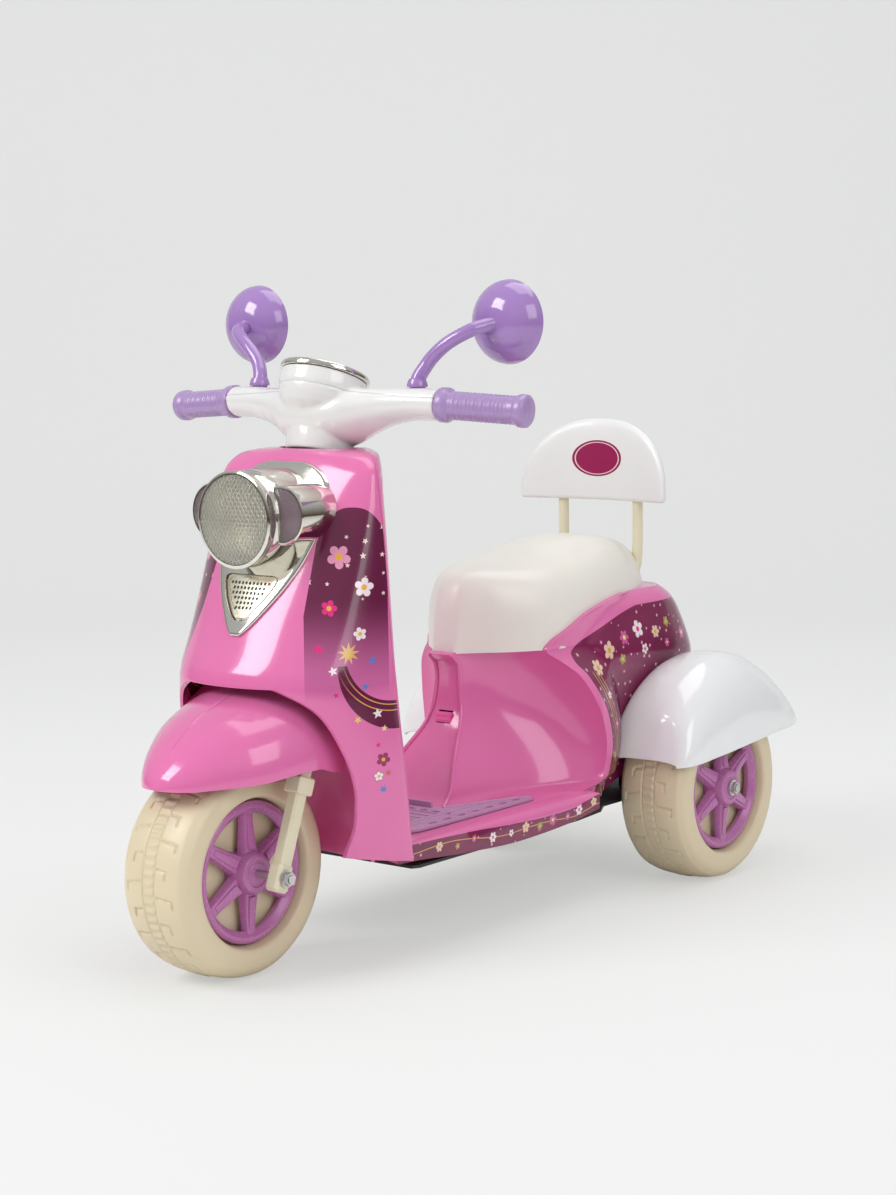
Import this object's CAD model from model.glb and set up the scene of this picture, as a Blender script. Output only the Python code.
import math
from functools import partial

import bmesh
import bpy
import numpy as np
from mathutils import Matrix, Vector


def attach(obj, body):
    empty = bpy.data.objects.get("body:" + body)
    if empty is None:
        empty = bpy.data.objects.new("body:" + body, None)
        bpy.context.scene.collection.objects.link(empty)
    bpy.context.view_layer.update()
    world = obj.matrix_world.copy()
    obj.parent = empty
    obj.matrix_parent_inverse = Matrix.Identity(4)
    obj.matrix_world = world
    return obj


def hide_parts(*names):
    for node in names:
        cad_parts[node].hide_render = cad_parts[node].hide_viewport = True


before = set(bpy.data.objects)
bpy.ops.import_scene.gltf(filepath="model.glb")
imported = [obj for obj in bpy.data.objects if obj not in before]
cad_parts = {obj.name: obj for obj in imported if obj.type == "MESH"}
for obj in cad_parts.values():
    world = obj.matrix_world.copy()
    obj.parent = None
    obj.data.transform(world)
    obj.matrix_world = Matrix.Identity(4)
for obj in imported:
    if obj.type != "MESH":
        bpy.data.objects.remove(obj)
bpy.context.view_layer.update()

# The camera
# One long lens from the front left of the machine, a little above the seat, as the
# photograph was taken.

view_data = bpy.data.cameras.new("front_left_view")
view_data.lens = 71.62855
view_data.sensor_width = 36.0
view_data.clip_start = 0.01
view = bpy.data.objects.new("front_left_view", view_data)
view.location = (1.511809, -1.890286, 0.604381)
view.rotation_euler = (1.453987, 0.012911, 0.669285)
bpy.context.scene.collection.objects.link(view)
bpy.context.scene.camera = view
bpy.context.scene.view_settings.view_transform = "Standard"

# The studio floor and its light
# Seamless pale paper that runs from the floor up a wide curve behind the machine. Two soft
# boxes and an even room light it, so each colour shows about as it is.


def node(tree, kind, inputs=None, **settings):
    """A node with its settings, its sockets given as values or as links."""
    made = tree.nodes.new(kind)
    for key, value in settings.items():
        setattr(made, key, value)
    for key, value in (inputs or {}).items():
        if isinstance(value, bpy.types.NodeSocket):
            tree.links.new(value, made.inputs[key])
        else:
            made.inputs[key].default_value = value
    return made


def tree_of(*values):
    """The node tree of the first socket among these values."""
    return next(value.id_data for value in values if isinstance(value, bpy.types.NodeSocket))


def calc(operation, *values):
    """One step of shader arithmetic."""
    made = node(tree_of(*values), "ShaderNodeMath", dict(enumerate(values)), operation=operation)
    return made.outputs[0]


plus, minus, times, divided, mul_add, magnitude, larger, is_above, is_below = (
    partial(calc, operation) for operation in (
        "ADD", "SUBTRACT", "MULTIPLY", "DIVIDE", "MULTIPLY_ADD", "ABSOLUTE", "MAXIMUM",
        "GREATER_THAN", "LESS_THAN"))


def mix_colour(share, low, high, blend="MIX"):
    return node(tree_of(share, low, high), "ShaderNodeMix", {0: share, 6: low, 7: high},
                data_type="RGBA", blend_type=blend).outputs[2]


def axes(vector):
    """X, Y and Z of a vector."""
    return tuple(node(tree_of(vector), "ShaderNodeSeparateXYZ", {0: vector}).outputs)


def span(value, low, high, **settings):
    """0 at the low value and 1 at the high one, held at both ends."""
    return node(tree_of(value), "ShaderNodeMapRange", {0: value, 1: low, 2: high},
                **settings).outputs[0]


def noise(tree, scale, detail, place=None):
    inputs = {"Scale": scale, "Detail": detail}
    if place is not None:
        inputs["Vector"] = place
    return node(tree, "ShaderNodeTexNoise", inputs).outputs["Fac"]


def grid_mesh(name, rows, around=False, caps=False, facing=None):
    """Quads through a grid of points. A closed solid has its rings capped and faces out."""
    rows = np.asarray(rows, float)
    count, wide = rows.shape[:2]
    bm = bmesh.new()
    verts = [[bm.verts.new(point) for point in row] for row in rows]
    for k in range(count - 1):
        for i in range(wide if around else wide - 1):
            j = (i + 1) % wide
            bm.faces.new((verts[k][i], verts[k][j], verts[k + 1][j], verts[k + 1][i]))
    if caps:
        bm.faces.new(verts[0][::-1])
        bm.faces.new(verts[-1])
    bmesh.ops.remove_doubles(bm, verts=bm.verts, dist=1e-6)
    if facing is None:
        bmesh.ops.recalc_face_normals(bm, faces=bm.faces)
    mesh = bpy.data.meshes.new(name)
    bm.to_mesh(mesh)
    bm.free()
    if facing is not None:
        total = sum((p.normal * p.area for p in mesh.polygons), Vector())
        if total.dot(Vector(facing)) < 0:
            mesh.flip_normals()
    return mesh


def put(name, mesh, material, place, sharp=None):
    """An object with one finish. Edges sharper than the angle keep their line."""
    made = bpy.data.objects.new(name, mesh)
    bpy.context.scene.collection.objects.link(made)
    made.matrix_world = place
    mesh.materials.clear()
    mesh.materials.append(material)
    mesh.polygons.foreach_set("use_smooth", [True] * len(mesh.polygons))
    if sharp:
        mesh.set_sharp_from_angle(angle=math.radians(sharp))
    return made


def new_material(name):
    made = bpy.data.materials.new(name)
    made.use_nodes = True
    tree = made.node_tree
    tree.nodes.clear()
    return made, tree


paper, tree = new_material("studio_paper")
tone = mix_colour(noise(tree, 6.0, 3.0), (0.85, 0.86, 0.845, 1), (0.88, 0.885, 0.87, 1))
lit = node(tree, "ShaderNodeBsdfPrincipled", {"Base Color": tone, "Roughness": 0.9})
glow = node(tree, "ShaderNodeEmission", {"Color": (0.87, 0.875, 0.862, 1), "Strength": 0.97})
path = node(tree, "ShaderNodeLightPath")
share = times(path.outputs["Is Camera Ray"], 0.55)
both = node(tree, "ShaderNodeMixShader", {0: share, 1: lit.outputs[0], 2: glow.outputs[0]})
node(tree, "ShaderNodeOutputMaterial", {0: both.outputs[0]})

PAPER_HALF_WIDTH = 4.5
PAPER_BACK = 2.4
SWEEP_RADIUS = 1.1
side_view = [(-3.5, 0.0), (PAPER_BACK, 0.0)]
side_view += [(PAPER_BACK + SWEEP_RADIUS * math.sin(a), SWEEP_RADIUS * (1 - math.cos(a)))
              for a in np.linspace(0.1, math.pi / 2, 14)]
side_view.append((PAPER_BACK + SWEEP_RADIUS, 4.5))
sweep = [[(x, y, z) for x in (-PAPER_HALF_WIDTH, PAPER_HALF_WIDTH)] for y, z in side_view]
floor = put("studio_floor", grid_mesh("studio_floor", sweep, facing=(0, 0, 1)), paper,
            Matrix.Rotation(view.rotation_euler.z, 4, "Z"))

room = bpy.data.worlds.new("studio_room")
bpy.context.scene.world = room
room.use_nodes = True
sky = room.node_tree
height = axes(node(sky, "ShaderNodeTexCoord").outputs["Generated"])[2]
mirrored = node(sky, "ShaderNodeLightPath").outputs["Is Glossy Ray"]
dark_wall = times(mirrored, minus(1.0, span(height, -0.05, 0.42)))
background = sky.nodes["Background"].inputs
sky.links.new(mix_colour(dark_wall, (0.95, 0.97, 1.0, 1), (0.16, 0.12, 0.09, 1)),
              background["Color"])
background["Strength"].default_value = 0.52

for label, place, size, power in (("key_box", (-1.1, -2.3, 2.1), 1.3, 44.0),
                                  ("fill_box", (2.6, -0.6, 1.7), 1.6, 20.0),
                                  ("top_box", (0.2, 0.5, 2.6), 1.8, 20.0)):
    lamp = bpy.data.lights.new(label, "AREA")
    lamp.size = size
    lamp.energy = power
    lamp_object = bpy.data.objects.new(label, lamp)
    lamp_object.location = place
    aim = Vector((0.0, 0.0, 0.3)) - Vector(place)
    lamp_object.rotation_euler = aim.to_track_quat("-Z", "Y").to_euler()
    bpy.context.scene.collection.objects.link(lamp_object)

# The three wheels
# Hollow blow-moulded wheels of cream plastic, hard like a bottle. The tread has a toothed
# belt round its middle and bent grooves on both shoulders, all part of the moulding.


def new_group(name, inputs, outputs):
    """A shader node group with its sockets: (group, what it is given, its output node)."""
    group = bpy.data.node_groups.new(name, "ShaderNodeTree")
    for label, value in inputs.items():
        kind = "Float" if isinstance(value, float) else "Vector" if len(value) == 3 else "Color"
        socket = group.interface.new_socket(label, in_out="INPUT", socket_type="NodeSocket" + kind)
        socket.default_value = value
    for label, kind in outputs.items():
        group.interface.new_socket(label, in_out="OUTPUT", socket_type="NodeSocket" + kind)
    return group, group.nodes.new("NodeGroupInput").outputs, group.nodes.new("NodeGroupOutput")


def deliver(result, **made):
    """Joins what a group has made to its outputs."""
    for label, value in made.items():
        result.id_data.links.new(value, result.inputs[label])


def own_place(tree):
    """Where a point lies in its own piece's frame."""
    return node(tree, "ShaderNodeTexCoord").outputs["Object"]


# Moulded plastic: slow drift of the colour, rubbed streaks, a little dust on what faces up,
# and the fine skin that the mould leaves.
moulding, given, result = new_group(
    "moulded_skin", {"Colour": (0.8, 0.8, 0.8, 1), "Roughness": 0.3, "Drift": 0.05,
                     "Rubbing": 0.12, "Skin": 0.3, "Dust": 0.08},
    {"Colour": "Color", "Roughness": "Float", "Height": "Float"})
place = own_place(moulding)
long_way = node(moulding, "ShaderNodeMapping", {"Vector": place, "Rotation": (0.5, 0.35, 0.8),
                                                "Scale": (30.0, 420.0, 260.0)}).outputs[0]
rubbed = span(noise(moulding, 1.0, 4.0, long_way), 0.56, 0.78)
speck = span(noise(moulding, 520.0, 2.0, place), 0.60, 0.74)
upward = axes(node(moulding, "ShaderNodeNewGeometry").outputs["Normal"])[2]
settled = times(times(span(upward, 0.45, 1.0), given["Dust"]), mul_add(speck, 0.7, 0.3))
deep = mix_colour(1.0, given["Colour"], (0.86, 0.84, 0.85, 1), "MULTIPLY")
change = times(times(noise(moulding, 9.0, 3.0, place), given["Drift"]), 4.0)
drifted = mix_colour(change, given["Colour"], deep)
rough = mul_add(rubbed, given["Rubbing"], given["Roughness"])
skin, wave = noise(moulding, 1600.0, 2.0, place), noise(moulding, 34.0, 1.0, place)
deliver(result, Colour=mix_colour(settled, drifted, (0.72, 0.70, 0.67, 1)),
        Roughness=mul_add(settled, 0.5, rough), Height=mul_add(skin, given["Skin"], wave))


def surfaced(tree, inputs):
    """A material's shader, joined to its output."""
    shader = node(tree, "ShaderNodeBsdfPrincipled", inputs)
    node(tree, "ShaderNodeOutputMaterial", {0: shader.outputs[0]})
    return shader


def plastic(name, colour, roughness, drift=0.05, rubbing=0.12, skin=0.3, depth=0.00006,
            dust=0.08, coat=0.0, scatter=0.0):
    """A moulded plastic with its skin, wear and dust."""
    made, tree = new_material(name)
    skinned = node(tree, "ShaderNodeGroup", {
        "Colour": (*colour, 1), "Roughness": roughness, "Drift": drift, "Rubbing": rubbing,
        "Skin": skin, "Dust": dust}, node_tree=moulding)
    bump = node(tree, "ShaderNodeBump", {"Height": skinned.outputs["Height"],
                                         "Distance": depth, "Strength": 1.0})
    shader = surfaced(tree, {
        "Base Color": skinned.outputs["Colour"], "Roughness": skinned.outputs["Roughness"],
        "Normal": bump.outputs[0], "Coat Weight": coat, "Coat Roughness": 0.04,
        "Subsurface Weight": scatter, "Subsurface Scale": 0.004})
    skinned.name, shader.name = "skin", "surface"
    return made


def dress(piece, body, replaced=None):
    """The piece rides on a body, has a finish slot, and may take the place of a CAD node."""
    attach(piece, body)
    if replaced:
        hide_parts(replaced)


# the front axle's place along the machine
VEHICLE = Matrix.Translation((0.0, -0.324, 0.0))
WHEELBASE = 0.590
HALF_TRACK = 0.144
WHEEL_RADIUS = 0.100
TREAD_EDGE = 0.0335
BELT_TEETH = 72
GROOVES = 24
GROOVE_DEPTH = 0.0016
TURN_STEPS = BELT_TEETH * 6


def rising(value, start, end):
    return np.clip((value - start) / (end - start), 0.0, 1.0)


def solid(name, rings):
    """A closed body through a row of rings."""
    return grid_mesh(name, rings, around=True, caps=True)


def tread(angle, x):
    """How far the tread stands above or below its plain surface."""
    turn_share = angle * GROOVES / (2 * math.pi)
    tooth = np.abs((angle * BELT_TEETH / (2 * math.pi)) % 1.0 - 0.5)
    belt = rising(-np.abs(x), -0.0062, -0.0054)
    level = belt * (rising(-tooth, -0.30, -0.22) * 0.0014 - 0.0007)
    level = level - 0.0010 * rising(-np.abs(np.abs(x) - 0.0072), -0.0011, -0.0005)
    shift = np.where(x > 0, 0.0, 0.5)
    phase = (turn_share + shift) % 1.0
    long_one = ((turn_share + shift) % 2.0) < 1.0
    reach = np.where(long_one, 0.0270, 0.0200)
    pitch = 2 * math.pi * WHEEL_RADIUS / GROOVES
    away = np.abs(phase - 0.30 - 0.10 * rising(np.abs(x), 0.009, 0.027)) * pitch
    cross = rising(-away, -0.0016, -0.0008) * rising(np.abs(x), 0.0090, 0.0098)
    cross = cross * rising(-np.abs(x), -reach - 0.0008, -reach)
    leg = rising(-np.abs(np.abs(x) - reach), -0.0015, -0.0008)
    leg = leg * rising(phase, 0.36, 0.40) * rising(-phase, -0.72, -0.66)
    return level - GROOVE_DEPTH * np.maximum(cross, leg)


half_view = [(0.0128, 0.0190), (0.0500, 0.0190), (0.0655, 0.0190), (0.0668, 0.0196),
             (0.0675, 0.0210), (0.0680, 0.0260), (0.0700, 0.0365), (0.0707, 0.0390),
             (0.0722, 0.0403), (0.0745, 0.0408), (0.0790, 0.0410), (0.0840, 0.0410),
             (0.0872, 0.0406), (0.0900, 0.0394), (0.0925, 0.0374), (0.0944, 0.0352)]
half_view += [(WHEEL_RADIUS - 0.0040 * (abs(x) / TREAD_EDGE) ** 3.2, x)
              for x in np.linspace(TREAD_EDGE, 0.0, 38)]
wheel_view = half_view + [(r, -x) for r, x in reversed(half_view[:-1])]
angles = np.linspace(0, 2 * math.pi, TURN_STEPS, endpoint=False)
tyre_rows = []
for r, x in wheel_view:
    radius = np.full(TURN_STEPS, r)
    if abs(x) <= TREAD_EDGE and r > 0.09:
        radius = radius + tread(angles, np.full(TURN_STEPS, x))
    tyre_rows.append(np.stack([np.full(TURN_STEPS, x), radius * np.cos(angles),
                               radius * np.sin(angles)], 1))
tyre_rows.append(tyre_rows[0])

cream = plastic("cream_tyre", (0.75, 0.64, 0.44), 0.36, drift=0.07, rubbing=0.2, skin=0.6,
                depth=0.00010, dust=0.05, scatter=0.10)
FRONT_WHEEL = VEHICLE @ Matrix.Translation((0.0, 0.0, WHEEL_RADIUS))
REAR_LEFT = VEHICLE @ Matrix.Translation((HALF_TRACK, WHEELBASE, WHEEL_RADIUS))
REAR_RIGHT = VEHICLE @ Matrix.Translation((-HALF_TRACK, WHEELBASE, WHEEL_RADIUS))
WHEELS = (("front_wheel", "front_wheel_unit", FRONT_WHEEL),
          ("rear_wheel_left", "rear_left_wheel_unit", REAR_LEFT),
          ("rear_wheel_right", "rear_right_wheel_unit", REAR_RIGHT))
for name, body, where in WHEELS:
    dress(put("moulded_" + name, grid_mesh(name, tyre_rows, around=True), cream, where, sharp=50),
          body, name)

# The wheel caps
# Mauve injection-moulded caps, pressed into both faces of each wheel: a sloped ring, six
# spokes with a raised rib, and a hub with an open ring pressed into its face.


def worked(mesh, kind, **settings):
    """The mesh after one modifier."""
    made = bpy.data.objects.new("work", mesh)
    bpy.context.scene.collection.objects.link(made)
    modifier = made.modifiers.new(kind, kind)
    for key, value in settings.items():
        setattr(modifier, key, value)
    bpy.context.view_layer.update()
    graph = bpy.context.evaluated_depsgraph_get()
    finished = bpy.data.meshes.new_from_object(made.evaluated_get(graph))
    bpy.data.objects.remove(made)
    return finished


def joined(name, meshes):
    """Several meshes as one, each still its own closed body."""
    bm = bmesh.new()
    for mesh in meshes:
        bm.from_mesh(mesh)
    whole = bpy.data.meshes.new(name)
    bm.to_mesh(whole)
    bm.free()
    return whole


def turned(name, profile, steps):
    """A profile of (radius, height) points spun about Z."""
    angles = np.linspace(0, 2 * math.pi, steps, endpoint=False)
    rows = [np.stack([r * np.cos(angles), r * np.sin(angles), np.full(steps, z)], 1)
            for r, z in profile]
    return grid_mesh(name, rows + rows[:1], around=True)


def eased(mesh, width, angle=0.9, segments=2):
    """The mesh with every corner sharper than the angle rounded."""
    return worked(mesh, "BEVEL", width=width, segments=segments, limit_method="ANGLE",
                  angle_limit=angle)


NEAR_AXIS = 0.0002


def drum_view(radius, start, end):
    """The profile of a plain drum, to be turned."""
    return [(NEAR_AXIS, start), (radius, start), (radius, end), (NEAR_AXIS, end)]


def about_x(mesh):
    mesh.transform(Matrix.Rotation(math.pi / 2, 4, "Y"))
    return mesh


SPOKES = 6
CAP_EDGE = 0.0665
CAP_LOW = 0.0235
ring = turned("cap_ring", [(CAP_EDGE, 0.0325), (CAP_EDGE, CAP_LOW), (0.0560, CAP_LOW),
                           (0.0550, 0.0290), (0.0562, 0.0305), (0.0580, 0.0318), (0.0605, 0.0345),
                           (0.0635, 0.0345)], 96)
hub = turned("cap_hub", [(0.0001, 0.0193), (0.0210, 0.0193), (0.0210, 0.0330), (0.0182, 0.0410),
                         (0.0160, 0.0420), (0.0128, 0.0420), (0.0122, 0.0411), (0.0105, 0.0411),
                         (0.0099, 0.0420), (0.0001, 0.0420)], 64)
pieces = [about_x(eased(mesh, 0.0007, 0.45, 3)) for mesh in (ring, hub)]
spoke_stations = [(0.014, 0.0112, 0.0345), (0.022, 0.0104, 0.0338), (0.034, 0.0092, 0.0326),
                  (0.046, 0.0082, 0.0318), (0.0585, 0.0076, 0.0322)]
rib_stations = [(0.0225, 0.0048, 0.0364), (0.026, 0.0052, 0.0356), (0.036, 0.0046, 0.0343),
                (0.047, 0.0041, 0.0333), (0.0535, 0.0038, 0.0328)]
for k in range(SPOKES):
    spin = Matrix.Rotation(2 * math.pi * (k + 0.5) / SPOKES, 4, "X")
    for stations, low, side_slope, width in ((spoke_stations, 0.0255, 0.0026, 0.0007),
                                             (rib_stations, 0.0300, 0.0011, 0.0006)):
        rings = [[(low, reach, -half), (low, reach, half), (high, reach, half - side_slope),
                  (high, reach, -half + side_slope)] for reach, half, high in stations]
        bar = eased(solid("spoke", rings), width, 0.5, 3)
        bar.transform(spin)
        pieces.append(bar)
cap_mesh = joined("cap", pieces)

mauve = plastic("mauve_cap", (0.49, 0.16, 0.39), 0.24, drift=0.04, skin=0.4, depth=0.00005,
                coat=0.25)
CAPS = (("front_wheel_cap_left", "front_wheel_unit", FRONT_WHEEL, 1),
        ("front_wheel_cap_right", "front_wheel_unit", FRONT_WHEEL, -1),
        ("rear_wheel_cap_left", "rear_left_wheel_unit", REAR_LEFT, 1),
        ("rear_wheel_cap_right", "rear_right_wheel_unit", REAR_RIGHT, -1))
for name, body, where, side in CAPS:
    flip = Matrix.Rotation(0.0 if side > 0 else math.pi, 4, "Z")
    dress(put("moulded_" + name, cap_mesh.copy(), mauve, where @ flip, sharp=35), body,
          name)

# The fork
# Two square cream legs with a collar at the top, a crown across them, and a steel axle and
# nuts at the bottom. The column runs up inside the shield.


def finish_nodes(material, names):
    """CAD nodes that keep their mesh and get a better finish."""
    for name in names:
        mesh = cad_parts[name].data
        mesh.materials.clear()
        mesh.materials.append(material)


ivory = plastic("ivory_fork", (0.78, 0.72, 0.52), 0.30, drift=0.06, rubbing=0.2, skin=0.5,
                depth=0.00008)
finish_nodes(ivory, ("fork_leg_left", "fork_leg_right", "fork_crown"))


def metal(name, colour, roughness, grain, stretch, dulling=0.12):
    """Bare or plated metal with its drawing lines and dull spots."""
    made, tree = new_material(name)
    place = own_place(tree)
    along = node(tree, "ShaderNodeMapping", {"Vector": place, "Scale": stretch}).outputs[0]
    lines = noise(tree, 1.0, 5.0, along)
    dull = span(noise(tree, 160.0, 3.0, place), 0.52, 0.72)
    tarnished = (*(0.82 * part for part in colour), 1)
    bump = node(tree, "ShaderNodeBump", {"Height": lines, "Distance": 0.00002})
    surfaced(tree, {"Base Color": mix_colour(times(dull, dulling * 8), (*colour, 1), tarnished),
                    "Roughness": mul_add(dull, dulling, mul_add(lines, grain, roughness)),
                    "Metallic": 1.0, "Normal": bump.outputs[0]})
    return made


zinc = metal("zinc_steel", (0.66, 0.66, 0.64), 0.24, 0.20, (900.0, 900.0, 60.0))
finish_nodes(zinc, ("front_axle", "axle_nut_left", "axle_nut_right", "steering_column", "rear_axle",
                    "rear_axle_nut_left", "rear_axle_nut_right"))

# The front fender
# One glossy pink moulding over the wheel, with a fine crease along its middle. It turns with
# the fork.


def smooth_rows(table, steps, straight=()):
    """A table's rows with smooth rows between them, which never overshoot the given ones."""
    rows = np.asarray(table, float)
    gaps = np.diff(rows, axis=0)
    slopes = np.zeros_like(rows)
    slopes[0], slopes[-1] = gaps[0], gaps[-1]
    before, after = gaps[:-1], gaps[1:]
    same = before * after > 0
    total = np.where(same, before + after, 1.0)
    slopes[1:-1] = np.where(same, 2 * before * after / total, 0.0)
    made = [rows[0]]
    for k, gap in enumerate(gaps):
        leave, arrive = (gap, gap) if k in straight else (slopes[k], slopes[k + 1])
        for t in np.arange(1, steps + 1) / steps:
            made.append((2 * t ** 3 - 3 * t ** 2 + 1) * rows[k] + (t ** 3 - 2 * t ** 2 + t) * leave
                        + (3 * t ** 2 - 2 * t ** 3) * rows[k + 1] + (t ** 3 - t ** 2) * arrive)
    return np.array(made)


def signed_power(value, power):
    return math.copysign(abs(value) ** power, value)


def shell(mesh, thickness, rim=0.0007, even=True):
    """A skin given its wall, with its cut edges rounded."""
    mesh = worked(mesh, "SOLIDIFY", thickness=thickness, offset=-1.0, use_even_offset=even)
    if rim:
        mesh = eased(mesh, rim)
    return mesh


WALL = 0.003
CREASE_DEPTH, CREASE_TURN = 0.0009, 0.014
fender_stations = [(-0.0888, 0.0006, 0.1878, 0.1873), (-0.0870, 0.0090, 0.1925, 0.1870),
                   (-0.0840, 0.0180, 0.1995, 0.1868), (-0.0745, 0.0310, 0.2115, 0.1865),
                   (-0.0580, 0.0460, 0.2270, 0.1875), (-0.0385, 0.0600, 0.2400, 0.1885),
                   (-0.0215, 0.0710, 0.2485, 0.1900), (0.0000, 0.0790, 0.2570, 0.1930),
                   (0.0200, 0.0830, 0.2640, 0.1950), (0.0400, 0.0845, 0.2680, 0.1955),
                   (0.0600, 0.0845, 0.2685, 0.1900), (0.0780, 0.0830, 0.2640, 0.1880)]
FENDER_POWER = 2 / 2.35
turns = np.concatenate([[0.0, 0.006, 0.014, 0.03], np.linspace(0.06, math.pi / 2, 26)])
turns = np.concatenate([-turns[:0:-1], turns])
fender_rows = []
for y, half, crest, edge in smooth_rows(fender_stations, 6):
    row = []
    for t in turns:
        c, s = max(0.0, math.cos(t)), math.sin(t)
        x = half * signed_power(s, FENDER_POWER)
        crease = CREASE_DEPTH * max(0.0, 1 - abs(t) / CREASE_TURN) * float(rising(y, -0.080,
                                                                                  -0.060))
        row.append((x, y, edge + (crest - edge) * c ** FENDER_POWER - crease))
    fender_rows.append(row)
fender_mesh = shell(grid_mesh("front_fender", fender_rows, facing=(0, 0, 1)), WALL, 0.0, even=False)

PINK = (0.76, 0.165, 0.405)
pink = plastic("pink_moulding", PINK, 0.16, drift=0.03, rubbing=0.10, skin=0.10, depth=0.00006,
               coat=0.5, dust=0.04)
dress(put("fender_over_front_wheel", fender_mesh, pink, VEHICLE, sharp=45), "steering",
      "front_fender")

# The handlebar
# Two white shells that meet on a line round the bar. The neck rises out of the shield's top
# and spreads into the two arms and the bowl of the gauge.

RAKE = math.radians(20.5)
RAKED = Matrix.Translation((0.0, 0.0, WHEEL_RADIUS)) @ Matrix.Rotation(-RAKE, 4, "X")
STEERING = VEHICLE @ RAKED
BAR_SWEEP = math.radians(10.2)
SHELL_SPLIT = 0.4585
POD_TOP = 0.475
POD_CENTRE_Y = -0.014
POD_PLACE = Matrix.Translation((0.0, POD_CENTRE_Y, 0.0))
VOXEL = 0.0013


def cut(mesh, tool, operation="DIFFERENCE"):
    other = bpy.data.objects.new("tool", tool)
    bpy.context.scene.collection.objects.link(other)
    other.hide_render = True
    mesh = worked(mesh, "BOOLEAN", object=other, operation=operation, solver="EXACT")
    bpy.data.objects.remove(other)
    return mesh


def box_mesh(name, low, high):
    corners = [(low[0], low[1]), (high[0], low[1]), (high[0], high[1]), (low[0], high[1])]
    return solid(name, [[(x, y, z) for x, y in corners] for z in (low[2], high[2])])


half_bar = [(0.0, -0.0020, 0.4370, 0.0360, 0.0300), (0.030, -0.0010, 0.4405, 0.0330, 0.0280),
            (0.055, 0.0010, 0.4470, 0.0265, 0.0210), (0.080, 0.0035, 0.4525, 0.0205, 0.0165),
            (0.105, 0.0060, 0.4560, 0.0172, 0.0152), (0.1287, 0.0090, 0.4570, 0.0160, 0.0150)]
full_bar = [(-x, y, z, a, b) for x, y, z, a, b in half_bar[:0:-1]] + half_bar
ring_turns = np.linspace(0, 2 * math.pi, 48, endpoint=False)
stations = smooth_rows(full_bar, 6)
arm_rings = []
for k, (x, y, z, a, b) in enumerate(stations):
    lean = math.copysign(math.tan(BAR_SWEEP), x) if k in (0, len(stations) - 1) else 0.0
    arm_rings.append([(x - a * math.cos(t) * lean, y + a * math.cos(t), z + b * math.sin(t))
                      for t in ring_turns])
neck = [(0.4005, 0.0320, 0.0300), (0.4150, 0.0335, 0.0320), (0.4275, 0.0345, 0.0330),
        (0.4400, 0.0460, 0.0340)]
neck_rings = [[(a * math.cos(t), -0.001 + b * math.sin(t), z) for t in ring_turns]
              for z, a, b in smooth_rows(neck, 5)]
bowl_view = [(NEAR_AXIS, POD_TOP - 0.0040), (0.0385, POD_TOP - 0.0040), (0.0385, POD_TOP),
             (0.0420, POD_TOP), (0.0420, POD_TOP - 0.012), (0.0400, POD_TOP - 0.024),
             (0.0340, POD_TOP - 0.032), (0.0240, POD_TOP - 0.0405), (NEAR_AXIS, POD_TOP - 0.043)]
bowl = turned("gauge_bowl", bowl_view, 64)
bowl.transform(POD_PLACE)
bar_mesh = joined("handlebar", [solid("arms", arm_rings),
                                solid("neck", neck_rings), bowl])
bar_mesh = worked(bar_mesh, "REMESH", mode="VOXEL", voxel_size=VOXEL)
bar_mesh = worked(bar_mesh, "SMOOTH", factor=0.5, iterations=8)


def seam_line(mesh, depth, half_width):
    """A fine V-groove where the two shells meet."""
    for vertex in mesh.vertices:
        share = 1 - abs(vertex.co.z - SHELL_SPLIT) / half_width
        if share > 0:
            vertex.co -= vertex.normal * (depth * share)


seam_line(bar_mesh, 0.0009, 0.0016)
white = plastic("white_gloss", (0.80, 0.785, 0.765), 0.16, drift=0.03, rubbing=0.08, skin=0.10,
                depth=0.00005, coat=0.5, dust=0.04, scatter=0.05)
for name, low, high in (("handlebar_upper", SHELL_SPLIT + 0.0001, 0.6),
                        ("handlebar_lower", 0.3, SHELL_SPLIT - 0.0001)):
    half = cut(bar_mesh.copy(), box_mesh("keep", (-0.3, -0.2, low), (0.3, 0.2, high)), "INTERSECT")
    dress(put("moulded_" + name, half, white, STEERING, sharp=50), "steering", name)

# The gauge
# A plated ring over a printed dial, for show. The dial has plain ticks and a pointer.

plated = metal("plated_plastic", (0.76, 0.735, 0.66), 0.05, 0.05, (40.0, 40.0, 40.0), dulling=0.05)
RING_BASE = POD_TOP + 0.0003
ring_view = [(0.0365, RING_BASE), (0.0435, RING_BASE), (0.0435, RING_BASE + 0.0035),
             (0.0428, RING_BASE + 0.0052), (0.0415, RING_BASE + 0.0060),
             (0.0390, RING_BASE + 0.0060), (0.0372, RING_BASE + 0.0045)]
ring = eased(turned("gauge_ring", ring_view, 96), 0.0005, 0.5)
ring.transform(POD_PLACE)
dress(put("plated_gauge_ring", ring, plated, STEERING, sharp=50), "steering",
      "gauge_ring")

dial = plastic("printed_dial", (0.80, 0.78, 0.80), 0.22, skin=0.1, coat=0.4)


def opened(material):
    """What a print on a plastic needs: (node tree, plain colour, the shader's colour input)."""
    nodes = material.node_tree.nodes
    return (material.node_tree, nodes["skin"].outputs["Colour"],
            nodes["surface"].inputs["Base Color"])


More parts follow.
